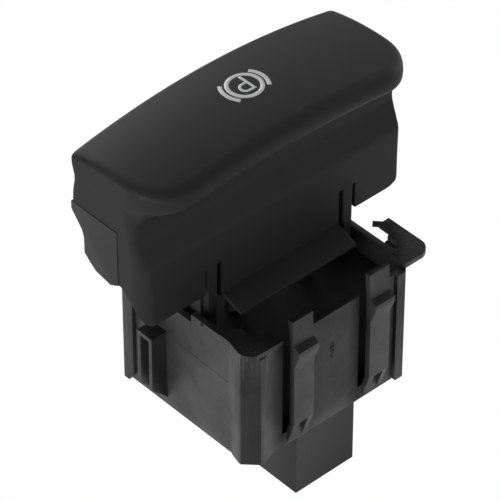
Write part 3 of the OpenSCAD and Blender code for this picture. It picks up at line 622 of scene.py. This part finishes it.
def tidy_mesh(piece: bpy.types.Object) -> None:
    """Merges vertices that lie within 0.002 mm and turns the faces outwards."""
    work = bmesh.new()
    work.from_mesh(piece.data)
    bmesh.ops.remove_doubles(work, verts=work.verts, dist=0.002 * MM)
    bmesh.ops.recalc_face_normals(work, faces=work.faces)
    work.to_mesh(piece.data)
    work.free()


def face_up(piece: bpy.types.Object) -> None:
    """Turns the faces of an open sheet so that they look upwards."""
    work = bmesh.new()
    work.from_mesh(piece.data)
    bmesh.ops.reverse_faces(work, faces=[f for f in work.faces if f.normal.z < 0])
    work.to_mesh(piece.data)
    work.free()


def thicken(piece: bpy.types.Object, depth: float) -> None:
    """Gives a sheet its thickness in millimetres, on its inner side."""
    solid = piece.modifiers.new("thickness", "SOLIDIFY")
    solid.thickness = depth * MM
    solid.offset = -1.0


def round_edges(piece: bpy.types.Object, width: float, angle: float) -> None:
    """Rounds the edges that are sharper than an angle in degrees, by a width in millimetres."""
    bevel = piece.modifiers.new("rounded edges", "BEVEL")
    bevel.width = width * MM
    bevel.segments = 2
    bevel.limit_method = "ANGLE"
    bevel.angle_limit = math.radians(angle)
    bevel.harden_normals = True
    bevel.use_clamp_overlap = True


DOUBLES = 0.004  # largest distance between doubled vertices in millimetres
FLAT, SHARP = 1.0, 30.0  # degrees: faces up to FLAT are joined, edges from SHARP are rounded


@dataclass
class SoftenedNode:
    """A moulded node of the frame with the small edge radius that a mould leaves.

    Attributes:
        node: the CAD node that it stands for.
        body: the body that it rides on.
        slot: the record's material slot; not used.
        radius: width of the edge rounding in millimetres.
    """

    node: str
    body: str
    slot: str
    radius: float

    def build(self, frame: dict, plastic: bpy.types.Material) -> bpy.types.Object:
        """Copies the node's mesh, merges it, joins flat triangles and rounds its edges.

        Args:
            plastic: the piece's material.

        Returns:
            The new piece.
        """
        mesh = frame["nodes"][self.node].data.copy()
        mesh.materials.clear()
        mesh.materials.append(plastic)
        made = bpy.data.objects.new(self.node + "_moulded", mesh)
        bpy.context.scene.collection.objects.link(made)
        work = bmesh.new()
        work.from_mesh(mesh)
        bmesh.ops.remove_doubles(work, verts=work.verts, dist=DOUBLES * MM)
        bmesh.ops.dissolve_limit(
            work, angle_limit=math.radians(FLAT), verts=work.verts, edges=work.edges)
        work.to_mesh(mesh)
        work.free()
        mesh.polygons.foreach_set("use_smooth", np.ones(len(mesh.polygons), bool))
        round_edges(made, self.radius, SHARP)
        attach(made, self.body)
        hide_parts(self.node)
        return made


SOFTENED = (
    SoftenedNode("housing", "base", "housing_plastic", 0.2),
    SoftenedNode("connector_base", "base", "frame_plastic", 0.2),
    SoftenedNode("paddle_carrier", "paddle", "paddle_grain", 0.14),
)


# The paddle


@dataclass(frozen=True)
class Station:
    """One level of the paddle's skin, in millimetres.

    Attributes:
        front: the front face's place along Y.
        front_z: its height at the middle of the paddle.
        back: the back face's place along Y.
        back_z: its height at the middle of the paddle.
        corner: plan radius of the front corners.
        crown: drop of the front from the middle to the ends.
        back_crown: drop of the back from the middle to the ends.
        inset: how far the ends are drawn in.
        arch: share of the top's arch that the level follows from front to back.
    """

    front: float
    front_z: float
    back: float
    back_z: float
    corner: float = 1.6
    crown: float = 0.0
    back_crown: float = 0.0
    inset: float = 0.0
    arch: float = 0.0


# Stations from the slits' tops to the lip's top, each in the order of Station's fields
LEVELS: tuple[tuple[float, ...], ...] = (
    (-3.4, 10.2, 13.4, 14.4, 3.2),
    (-3.4, 12.2, 13.4, 16.5, 3.1),
    (-3.4, 17.0, 13.9, 18.8, 2.7),
    (-2.6, 19.8, 15.4, 20.6, 2.2),
    (-1.6, 22.4, 16.8, 22.4, 1.8),
    (-1.1, 24.5, 16.8, 24.5),
    (-1.1, 27.4, 16.6, 27.4, 1.8),
    (-1.6, 29.3, 16.3, 29.0, 2.7, 0.5),
    (-2.9, 31.3, 16.1, 30.4, 4.2, 1.0, 0.4),
    (-5.4, 33.2, 16.1, 32.0, 6.8, 1.6, 1.0),
    (-7.6, 34.3, 16.3, 33.5, 8.4, 2.0, 1.6, 0.0, 0.3),
    (-8.7, 35.4, 16.5, 34.8, 9.0, 2.4, 2.2, 0.0, 0.6),
    (-9.0, 37.0, 16.75, 36.6, 9.2, 2.8, 3.0, 0.0, 0.85),
    (-8.75, 38.4, 16.8, 38.4, 9.2, 2.9, 3.6, 0.0, 1.0),
    (-8.0, 39.3, 16.55, 39.35, 9.0, 2.92, 3.7, 0.45, 1.0),
    (-6.7, 39.87, 15.9, 39.85, 8.6, 2.95, 3.76, 1.3, 1.0),
    (-5.4, 40.14, 14.8, 40.1, 8.0, 3.03, 3.73, 2.6, 1.0),
)


@dataclass(frozen=True)
class Crown:
    """The paddle's top: an arch from front to back that also falls towards both ends.

    Attributes:
        middle: the paddle's middle along X.
        half: half of its length.
        peak: height of its highest point.
        peak_y: the highest point's place along Y.
        bend: the arch's fall for each square millimetre from the highest line.
        front: place of the lip's front along Y.
        depth: distance from there to the back.
        fall: drop from the middle to the ends at the front and, added to it, at the back.
    """

    middle: float = -1.9
    half: float = 34.0
    peak: float = 41.02
    peak_y: float = 4.6
    bend: float = 0.0088
    front: float = -9.0
    depth: float = 25.8
    fall: tuple[float, float] = (2.9, 0.9)

    def height(self, x: Array, y: Array) -> Array:
        """Height of the top: the peak less the arch's square fall and the ends' square fall."""
        across = (y - self.front) / self.depth
        along = (x - self.middle) / self.half
        fall = self.fall[0] + self.fall[1] * across
        return self.peak - self.bend * (y - self.peak_y) ** 2 - fall * along**2


@dataclass
class PaddleSkin:
    """The soft-touch skin: skirt, finger neck, lip and crowned top, open where the carrier shows.

    Attributes:
        crown: the form of its top.
        thickness: thickness of the skin.
        seam_z: height of the parting line on the ends and the back.
        seam_y: place of the upright parting line on the ends.
        fixed: distance of the front's last fixed column from the ends.
        apron: half width of the apron between the slits.
        tongue: inner and outer edge of a tongue.
        slit_edge: outer edge of the outer slit.
        pitch: largest distance between the front's columns.
        face_y: place of the skirt's face along Y.
        skirt_z: height of the skirt's lower edge.
        round_r: rounding of the skirt's lower corners, across and upwards.
        climb: rise of the lower edge along the ends, and the height where it stops.
        tongue_z: height of the tongues' tips.
        slim: share of a tongue's width that is lost at its tip.
        apron_z: height of the apron's lower edge.
        rear: plan radius of the back corners.
        tight: front corner radius up to which the right corner is the sharper one.
        right_share: the sharper corner's share of that radius.
        before_gate: least distance from a front corner to the upright parting line.
        counts: points of an end's stretches: front, corner, up to the line, end, back corner.
        back_count: points of the back.
        finer: rings between stations.
        low_rings: rings below the lowest station.
        edge: width of the edges' rounding, and the smallest angle in degrees that is rounded.
        pulls: the top's rings, as shares of the rim's distances from the highest point.
        levels: the stations from the slits' tops to the lip's top.
    """

    crown: Crown = field(default_factory=Crown)
    thickness: float = 1.7
    seam_z: float = 24.5
    seam_y: float = 3.4
    fixed: float = 11.2
    apron: float = 15.5
    tongue: tuple[float, float] = (16.8, 19.2)
    slit_edge: float = 20.0
    pitch: float = 0.9
    face_y: float = -3.4
    skirt_z: float = 3.8
    round_r: tuple[float, float] = (3.2, 2.9)
    climb: tuple[float, float] = (0.8, 11.4)
    tongue_z: float = -6.0
    slim: float = 0.25
    apron_z: float = 0.9
    rear: float = 0.8
    tight: float = 3.4
    right_share: float = 0.35
    before_gate: float = 0.6
    counts: tuple[int, ...] = (8, 12, 6, 12, 4)
    back_count: int = 60
    finer: int = 6
    low_rings: int = 14
    edge: tuple[float, float] = (0.12, 50.0)
    pulls: tuple[float, ...] = (0.95, 0.89, 0.82, 0.74, 0.65, 0.55, 0.44, 0.33, 0.22, 0.11, 0.03)
    levels: tuple[Station, ...] = field(
        default_factory=lambda: tuple(Station(*row) for row in LEVELS))

    def spline(self, name: str, t: Array) -> Array:
        """Passes a smooth curve through one size of all stations.

        The curve is a cubic Hermite spline whose slope at a station is the mean of the slopes
        on its two sides, or zero where the two differ in sign.

        Args:
            name: the station's field.
            t: places along the stations, from 0 to their count less one.

        Returns:
            The size at each place.
        """
        v = np.array([getattr(s, name) for s in self.levels])
        step = np.diff(v)
        slope = np.zeros(len(v))
        slope[1:-1] = np.where(step[1:] * step[:-1] > 0, 0.5 * (step[1:] + step[:-1]), 0.0)
        slope[0], slope[-1] = step[0], step[-1]
        i = np.clip(t.astype(int), 0, len(v) - 2)
        s = t - i
        return ((2 * s**3 - 3 * s**2 + 1) * v[i] + (s**3 - 2 * s**2 + s) * slope[i]
                + (3 * s**2 - 2 * s**3) * v[i + 1] + (s**3 - s**2) * slope[i + 1])

    def front_columns(self) -> Array:
        """Places along X of the front's columns, with one on each slit edge."""
        edges = [self.apron, self.tongue[0], self.tongue[1], self.slit_edge]
        middle, reach = self.crown.middle, self.crown.half - self.fixed
        marks = [middle - reach, *[-e for e in reversed(edges)], *edges, middle + reach]
        spans = [
            np.linspace(a, b, max(2, round(abs(b - a) / self.pitch) + 1))[:-1]
            for a, b in zip(marks, marks[1:])]
        return np.concatenate([*spans, [marks[-1]]])

    def end_plan(
        self, side: Side, front: Array, back: Array, corner: Array, wide: Array
    ) -> tuple[Array, Array]:
        """Plan of one end of every ring, between the front's fixed column and the back.

        A corner is a quarter circle of the ring's own radius, which is the smaller one at the
        low right. The stretches beside it reach from the fixed columns of the front to the
        corner's start, so that columns stay in line.

        Args:
            side: which end it is.
            front: the front face's place along Y, one a ring, as a column.
            back: the back face's place along Y.
            corner: the front corner's radius.
            wide: distance from the middle to the end.

        Returns:
            The points' places along X, from the middle, and Y. The right end runs backwards and
            the left end forwards, so that a ring closes.
        """
        if side is Side.RIGHT:
            corner = np.where(corner < self.tight, self.right_share * corner, corner)
        start_x, rear = self.crown.half - self.fixed, self.rear
        straight, turn, up, on, back_turn = (np.linspace(0.0, 1.0, n + 1)[1:] for n in self.counts)
        turn, back_turn = np.radians(90.0 * turn - 90.0), np.radians(90.0 * back_turn)
        start = front + corner
        gate = np.maximum(self.seam_y, start + self.before_gate)
        x = np.hstack([
            start_x + (wide - corner - start_x) * straight, wide - corner + corner * np.cos(turn),
            wide + 0 * up, wide + 0 * on, wide - rear + rear * np.cos(back_turn)])
        y = np.hstack([
            front + 0 * straight, start + corner * np.sin(turn), start + (gate - start) * up,
            gate + (back - rear - gate) * on, back - rear + rear * np.sin(back_turn)])
        return (x, y) if side is Side.RIGHT else (-x[:, ::-1], y[:, ::-1])

    def plan(self, front: Array, back: Array, corner: Array, inset: Array) -> tuple[Array, Array]:
        """Plan of every ring: front, right front corner, right end, back, left end, left corner.

        Args:
            front: the front face's place along Y, one a ring.
            back: the back face's place along Y.
            corner: the front corners' radius.
            inset: how far the ends are drawn in.

        Returns:
            The points' places along X and Y, one row a ring.
        """
        columns = self.front_columns()
        wide = self.crown.half - inset
        front, back, corner, wide = (a[:, None] for a in (front, back, corner, wide))
        right_x, right_y = self.end_plan(Side.RIGHT, front, back, corner, wide)
        left_x, left_y = self.end_plan(Side.LEFT, front, back, corner, wide)
        across = np.linspace(1.0, -1.0, self.back_count + 2)[1:-1]
        flat_x = columns - self.crown.middle + 0 * front
        x = np.hstack([flat_x, right_x, (wide - self.rear) * across, left_x])
        y = np.hstack([front + 0 * columns, right_y, back + 0 * across, left_y])
        return x + self.crown.middle, y

    def side(self) -> Array:
        """Points of the skin's sides, ring by ring.

        A ring's height runs straight from its front to its back, plus its share of the top's
        arch, which is the arch's bend times the distances to the front and to the back.
        """
        steps = len(self.levels) - 1
        rings = np.linspace(0.0, steps, self.finer * steps + 1)
        x, y = self.plan(*(self.spline(k, rings) for k in ("front", "back", "corner", "inset")))
        front, back, front_z, back_z, crown, back_crown, arch = (
            self.spline(k, rings)[:, None]
            for k in ("front", "back", "front_z", "back_z", "crown", "back_crown", "arch"))
        u = (x - self.crown.middle) / self.crown.half
        share = (y - front) / (back - front)
        z = (1 - share) * (front_z - crown * u**2) + share * (back_z - back_crown * u**2)
        return np.stack([x, y, z + arch * self.crown.bend * (y - front) * (back - y)], axis=-1)

    def top(self, rim: Array) -> Array:
        """Rings that close the top, drawn evenly towards its highest point.

        The rim's small step off the crown fades with the square of the way to the ring that is
        half as large.

        Args:
            rim: points of the last ring of the sides.

        Returns:
            The rings' points.
        """
        pulls = np.array(self.pulls)[:, None]
        x = self.crown.middle + (rim[:, 0] - self.crown.middle) * pulls
        y = self.crown.peak_y + (rim[:, 1] - self.crown.peak_y) * pulls
        off = rim[:, 2] - self.crown.height(rim[:, 0], rim[:, 1])
        faded = off * np.clip(2.0 * pulls - 1.0, 0, 1) ** 2
        return np.stack([x, y, self.crown.height(x, y) + faded], axis=-1)

    def below(self, ring: Array) -> tuple[Array, Array]:
        """The panels below the lowest ring: skirt, slits, tongues and apron.

        Each column runs straight down to its own lower edge. The skirt's edge is level, rises in
        a quarter ellipse at both lower corners and then climbs along the ends.

        Args:
            ring: points of the lowest ring.

        Returns:
            The rows' points, and for each column whether its face to the next column is kept.
        """
        x, y = ring[:, 0], ring[:, 1]
        reach, rise = self.round_r
        out = np.clip((np.abs(x - self.crown.middle) - (self.crown.half - reach)) / reach, 0, 1)
        along = self.climb[0] * np.clip(y - self.face_y, 0, None)
        low = self.skirt_z + rise * (1 - np.sqrt(1 - out**2)) + along
        low = np.minimum(low, self.climb[1])
        far, hair, (inner, outer) = np.abs(x), 0.01, self.tongue
        flat = y < self.face_y + 0.1
        in_tongue = flat & (far > inner - hair) & (far < outer + hair)
        low = np.where(flat & (far < self.apron + hair), self.apron_z, low)
        low = np.where(in_tongue, self.tongue_z, low)
        share = np.linspace(0.0, 1.0, self.low_rings + 1)[:-1, None]
        z = low + (ring[:, 2] - low) * share
        middle = np.sign(x) * 0.5 * (inner + outer)
        depth = (ring[:, 2] - z) / (ring[:, 2] - self.tongue_z)
        slim = np.where(in_tongue, self.slim * depth, 0.0)
        rows = np.stack([x + (middle - x) * slim, y + 0 * z, z], axis=-1)
        span = 0.5 * (far + np.roll(far, -1))
        inner_slit = (span > self.apron) & (span < inner)
        outer_slit = (span > outer) & (span < self.slit_edge)
        carrier = 0.5 * (y + np.roll(y, -1)) > self.seam_y
        return rows, ~(flat & (inner_slit | outer_slit) | carrier)

    def build(self, skin: bpy.types.Material) -> bpy.types.Object:
        """Builds the skin from its sides, its top and its lower panels.

        Args:
            skin: the soft-touch material.

        Returns:
            The skin, which stands for the node paddle_shell.
        """
        side = self.side()
        rows, columns = side.shape[:2]
        top = self.top(side[-1])
        below, kept = self.below(side[0])
        faces = grid_faces(rows, columns, closed=True)
        mid_y = 0.5 * (side[:-1, :, 1] + np.roll(side[:-1, :, 1], -1, axis=1))
        top_z = np.maximum(side[1:, :, 2], np.roll(side[1:, :, 2], -1, axis=1))
        shown = ~((top_z < self.seam_z + 0.05) & (mid_y > self.seam_y))
        first = len(below) * columns
        lower = grid_faces(len(below) + 1, columns, closed=True)[:, kept].reshape(-1, 4)
        lid = grid_faces(len(top) + 1, columns, closed=True).reshape(-1, 4)
        lid += first + (rows - 1) * columns
        last = first + (rows + len(top) - 1) * columns
        points = np.concatenate([below.reshape(-1, 3), side.reshape(-1, 3), top.reshape(-1, 3)])
        quads = np.concatenate([lower, faces[shown] + first, lid])
        hub = tuple(last + k for k in range(columns))
        piece = make_piece("paddle_skin", points, [*quads, hub], skin, "paddle")
        tidy_mesh(piece)
        thicken(piece, self.thickness)
        round_edges(piece, *self.edge)
        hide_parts("paddle_shell")
        return piece


@dataclass
class Ledge:
    """The sloping ledge in front of the apron.

    Attributes:
        half: half of its length.
        skin_y: place of the skirt's face along Y.
        top_z: height where its top meets the apron.
        out: how far it reaches.
        drop: how far its top falls towards the front.
        edge: thickness of its front edge.
        low_z: height of the apron's lower edge.
        root: how far it reaches into the apron, and where its underside starts before it.
        brim: width of the level strip at the top.
        sag: how far the underside's start lies below the apron's lower edge.
        rounding: width of the edges' rounding, and the smallest angle that is rounded.
    """

    half: float = 15.5
    skin_y: float = -3.4
    top_z: float = 1.95
    out: float = 5.4
    drop: float = 1.75
    edge: float = 0.7
    low_z: float = 0.85
    root: float = 0.5
    brim: float = 0.2
    sag: float = 0.1
    rounding: tuple[float, float] = (0.22, 20.0)

    def build(self, skin: bpy.types.Material) -> bpy.types.Object:
        """Builds the ledge as one outline drawn along X, closed at both ends."""
        face, front, end_z = self.skin_y, self.skin_y - self.out, self.top_z - self.drop
        outline = (
            (face + self.root, self.low_z), (face + self.root, self.top_z),
            (face - self.brim, self.top_z), (front, end_z), (front, end_z - self.edge),
            (face - self.root, self.low_z - self.sag))
        points = np.array([(x, y, z) for x in (-self.half, self.half) for y, z in outline])
        n = len(outline)
        ends = (range(n), range(2 * n - 1, n - 1, -1))
        faces = [*grid_faces(2, n, closed=True).reshape(-1, 4), *ends]
        piece = make_piece("paddle_ledge", points, faces, skin, "paddle")
        tidy_mesh(piece)
        round_edges(piece, *self.rounding)
        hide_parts("paddle_shell")
        return piece


@dataclass
class ParkingSymbol:
    """The lit symbol in the paddle's top: a ring, two arcs beside it and an upright letter.

    Attributes:
        crown: the form of the paddle's top.
        middle: the symbol's middle along X and Y.
        ring: outer and inner radius of the ring.
        arc: outer and inner radius of the arcs.
        spread: half angle of an arc in degrees.
        stem: the letter stem's left and right edge.
        foot: height of the letter's foot below the middle.
        head: height of its top above the middle.
        bowl: height of its bowl.
        straight: how far right the bowl's straight edges reach.
        stroke: stroke width of the letter.
        lap: how far the bowl reaches into the stem.
        lift: how far the print stands proud of the crown.
        depth: its thickness.
        steps: points of the ring, an arc, the stem, the bowl's round and its straights.
    """

    crown: Crown = field(default_factory=Crown)
    middle: tuple[float, float] = (-1.85, 5.2)
    ring: tuple[float, float] = (3.925, 3.045)
    arc: tuple[float, float] = (5.2, 4.32)
    spread: float = 39.0
    stem: tuple[float, float] = (-1.3, -0.7)
    foot: float = -2.7
    head: float = 2.1
    bowl: float = 2.85
    straight: float = 0.33
    stroke: float = 0.6
    lap: float = 0.05
    lift: float = 0.03
    depth: float = 0.3
    steps: tuple[int, ...] = (97, 33, 9, 25, 4)

    def band(self, outer: Array, inner: Array, closed: bool) -> tuple[Array, Array]:
        """A strip between two paths drawn in the symbol's plane, three points wide."""
        points = np.stack([outer, 0.5 * (outer + inner), inner])
        return points.reshape(-1, 2), grid_faces(3, len(outer), closed).reshape(-1, 4)

    def circle(self, radius: float, start: float, end: float, steps: int) -> Array:
        """Points along a circle about the middle, between two angles in degrees."""
        a = np.radians(np.linspace(start, end, steps))
        return radius * np.stack([np.cos(a), np.sin(a)], axis=-1)

    def bowl_path(self, inward: float) -> Array:
        """The bowl's outline, drawn in by a distance: straight, half round, straight."""
        r = 0.5 * self.bowl
        turn = self.circle(r - inward, 90.0, -90.0, self.steps[3]) + (self.straight, self.head - r)
        x = np.linspace(self.stem[1] - self.lap, self.straight, self.steps[4])[:-1]
        upper = np.stack([x, 0 * x + self.head - inward], axis=-1)
        lower = np.stack([x[::-1], 0 * x + self.head - self.bowl + inward], axis=-1)
        return np.concatenate([upper, turn, lower])

    def build(self, print_colour: bpy.types.Material) -> bpy.types.Object:
        """Lays the strips on the crown, a hair above it, with thickness below.

        Args:
            print_colour: the symbol's material.

        Returns:
            The symbol, which stands for the node symbol_inlay.
        """
        ring = (self.circle(r, 0.0, 360.0, self.steps[0])[:-1] for r in self.ring)
        parts = [self.band(*ring, closed=True)]
        for turn in (0.0, 180.0):
            ends = (turn - self.spread, turn + self.spread, self.steps[1])
            parts.append(self.band(*(self.circle(r, *ends) for r in self.arc), closed=False))
        b = np.linspace(self.foot, self.head, self.steps[2])
        stem = (np.stack([0 * b + edge, b], axis=-1) for edge in self.stem)
        parts.append(self.band(*stem, closed=False))
        parts.append(self.band(self.bowl_path(0.0), self.bowl_path(self.stroke), closed=False))
        flat = np.concatenate([p for p, _ in parts])
        start = np.cumsum([0, *[len(p) for p, _ in parts]])
        quads = np.concatenate([f + o for (_, f), o in zip(parts, start)])
        x, y = self.middle[0] - flat[:, 0], self.middle[1] - flat[:, 1]
        points = np.stack([x, y, self.crown.height(x, y) + self.lift], axis=-1)
        piece = make_piece(
            "parking_symbol", points, list(quads), print_colour, "paddle")
        face_up(piece)
        thicken(piece, self.depth)
        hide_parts("symbol_inlay")
        return piece


# The stage


def place_object(name: str, data: object, place: Vector, ahead: Vector) -> bpy.types.Object:
    """Links a camera or a lamp that looks ahead from its place in metres."""
    made = bpy.data.objects.new(name, data)
    made.location = place
    made.rotation_mode = "QUATERNION"
    made.rotation_quaternion = ahead.to_track_quat("-Z", "Y")
    bpy.context.scene.collection.objects.link(made)
    return made


@dataclass(frozen=True)
class SoftBox:
    """A square lamp that faces the switch.

    Attributes:
        name: the lamp's name.
        place: its place in metres.
        size: its side in metres.
        power: its power in watts.
    """

    name: str
    place: tuple[float, float, float]
    size: float
    power: float

    def build(self) -> None:
        """Adds the lamp."""
        data = bpy.data.lights.new(self.name, "AREA")
        data.shape = "SQUARE"
        data.size = self.size
        data.energy = self.power
        place_object(self.name, data, Vector(self.place), -Vector(self.place))


LAMPS = (
    SoftBox("left soft box", (-0.90, -0.16, 0.16), 0.6, 10.5),
    SoftBox("front soft box", (-0.1, -0.85, 0.2), 0.6, 2.0),
    SoftBox("right soft box", (0.85, -0.1, 0.2), 0.7, 4.0),
    SoftBox("back soft box", (0.1, 0.85, 0.3), 0.6, 5.5),
    SoftBox("high soft box", (0.42, 0.46, 0.55), 0.6, 1.8),
)


@dataclass
class Studio:
    """Pale floor, soft lamps and the camera of the photograph.

    Attributes:
        eye: the camera's place in millimetres.
        azimuth: its angle round the switch, in degrees.
        elevation: its angle above the horizon.
        lens: focal length in millimetres.
        sensor: width of the film in millimetres.
        clip: the camera's nearest and farthest distance, in metres.
        floor_z: the floor's height in millimetres.
        reach: half of its side in metres.
        pale: its colour for diffuse light.
        matt: its roughness and specular level.
        ambient: strength of the world's even light.
    """

    eye: tuple[float, float, float] = (-368.5, -399.6, 465.6)
    azimuth: float = -42.28
    elevation: float = 40.467
    lens: float = 261.0
    sensor: float = 36.0
    clip: tuple[float, float] = (0.05, 20.0)
    floor_z: float = -47.62
    reach: float = 3.0
    pale: tuple[float, float, float] = (0.8, 0.8, 0.8)
    matt: tuple[float, float] = (0.9, 0.1)
    ambient: float = 0.25

    def camera(self) -> None:
        """Places the camera, looking back along its azimuth and elevation."""
        data = bpy.data.cameras.new("camera")
        data.lens = self.lens
        data.sensor_width = self.sensor
        data.clip_start, data.clip_end = self.clip
        a, e = math.radians(self.azimuth), math.radians(self.elevation)
        back = Vector((math.sin(a) * math.cos(e), -math.cos(a) * math.cos(e), math.sin(e)))
        bpy.context.scene.camera = place_object("camera", data, Vector(self.eye) * MM, -back)

    def floor(self) -> None:
        """Lays a floor that shows white from above and is clear from below.

        The camera and mirrored and refracted rays see it glow at full white. Diffuse light falls
        on it as on pale paint.
        """
        mesh = bpy.data.meshes.new("floor")
        r, z = self.reach, self.floor_z * MM
        mesh.from_pydata([(-r, -r, z), (r, -r, z), (r, r, z), (-r, r, z)], [], [(0, 1, 2, 3)])
        made = bpy.data.objects.new("floor", mesh)
        bpy.context.scene.collection.objects.link(made)
        paint, w, shader = new_material("white floor")
        nodes = paint.node_tree.nodes
        w.join(opaque(self.pale), shader["Base Color"])
        w.join(self.matt[0], shader["Roughness"])
        w.join(self.matt[1], shader["Specular IOR Level"])
        glow = w.node("ShaderNodeEmission")
        w.join(1.0, glow.inputs["Strength"])
        path = w.node("ShaderNodeLightPath").outputs
        seen = w.maths("MAXIMUM", path["Is Camera Ray"], path["Is Glossy Ray"])
        seen = w.maths("MAXIMUM", seen, path["Is Transmission Ray"])
        above = w.mix(seen, nodes["Principled BSDF"].outputs[0], glow.outputs[0])
        below = w.node("ShaderNodeBsdfTransparent").outputs[0]
        backs = w.node("ShaderNodeNewGeometry").outputs["Backfacing"]
        w.join(w.mix(backs, above, below), nodes["Material Output"].inputs["Surface"])
        mesh.materials.append(paint)

    def world(self) -> None:
        """Lights the switch evenly, and shows white to the camera."""
        made = bpy.data.worlds.new("studio")
        bpy.context.scene.world = made
        made.use_nodes = True
        w, nodes = Wiring(made.node_tree), made.node_tree.nodes
        light, white = nodes["Background"], w.node("ShaderNodeBackground")
        w.join(WHITE, light.inputs["Color"])
        w.join(self.ambient, light.inputs["Strength"])
        w.join(1.0, white.inputs["Strength"])
        seen = w.node("ShaderNodeLightPath").outputs["Is Camera Ray"]
        mixed = w.mix(seen, light.outputs[0], white.outputs[0])
        w.join(mixed, nodes["World Output"].inputs["Surface"])

    def build(self) -> None:
        """Sets up the camera, floor, lamps and world."""
        self.camera()
        self.floor()
        for lamp in LAMPS:
            lamp.build()
        self.world()
        bpy.context.scene.view_settings.view_transform = "Standard"


# What each CAD node is made of
NODE_FINISH: dict[str, Plastic | Metal] = {
    "housing": HOUSING, "connector_base": SHROUD, "terminal_pins": BRASS, "circuit_board": BOARD,
    "board_resistors": CHIP, "symbol_led": RESIN, "bearing_frame": FRAME,
    "pivot_pin_left": STEEL, "pivot_pin_right": STEEL, "stop_pads_front": RUBBER,
    "stop_pads_rear": RUBBER, "light_guide_lower": CLEAR, "light_guide_upper": CLEAR,
    "paddle_carrier": GRAINED, "paddle_shell": SOFT_SKIN, "symbol_inlay": SYMBOL,
}
FAMILIES: dict[str, Plastic | Metal] = {
    "switch_body": UNIT, "plunger": ACETAL, "return_spring": SPRING}


class Paints:
    """Builds each finish once and hands out its material."""

    def __init__(self) -> None:
        self.made: dict[str, bpy.types.Material] = {}

    def of(self, finish: Plastic | Metal) -> bpy.types.Material:
        """The finish's material."""
        if finish.name not in self.made:
            self.made[finish.name] = finish.material()
        return self.made[finish.name]

    def dress(self, nodes: dict[str, bpy.types.Object]) -> None:
        """Gives every CAD node its procedural material."""
        for name, node in nodes.items():
            family = next((f for k, f in FAMILIES.items() if name.startswith(k)), None)
            finish = family or NODE_FINISH[name]
            node.data.materials.clear()
            node.data.materials.append(self.of(finish))


def main() -> None:
    """Builds the scene."""
    logging.basicConfig(level=logging.INFO, format="%(message)s")
    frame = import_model()
    paints = Paints()
    paints.dress(frame["nodes"])
    for piece in SOFTENED:
        piece.build(frame, paints.of(NODE_FINISH[piece.node]))
    skin = paints.of(SOFT_SKIN)
    PaddleSkin().build(skin)
    Ledge().build(skin)
    ParkingSymbol().build(paints.of(SYMBOL))
    Studio().build()


if __name__ == "__main__":
    main()
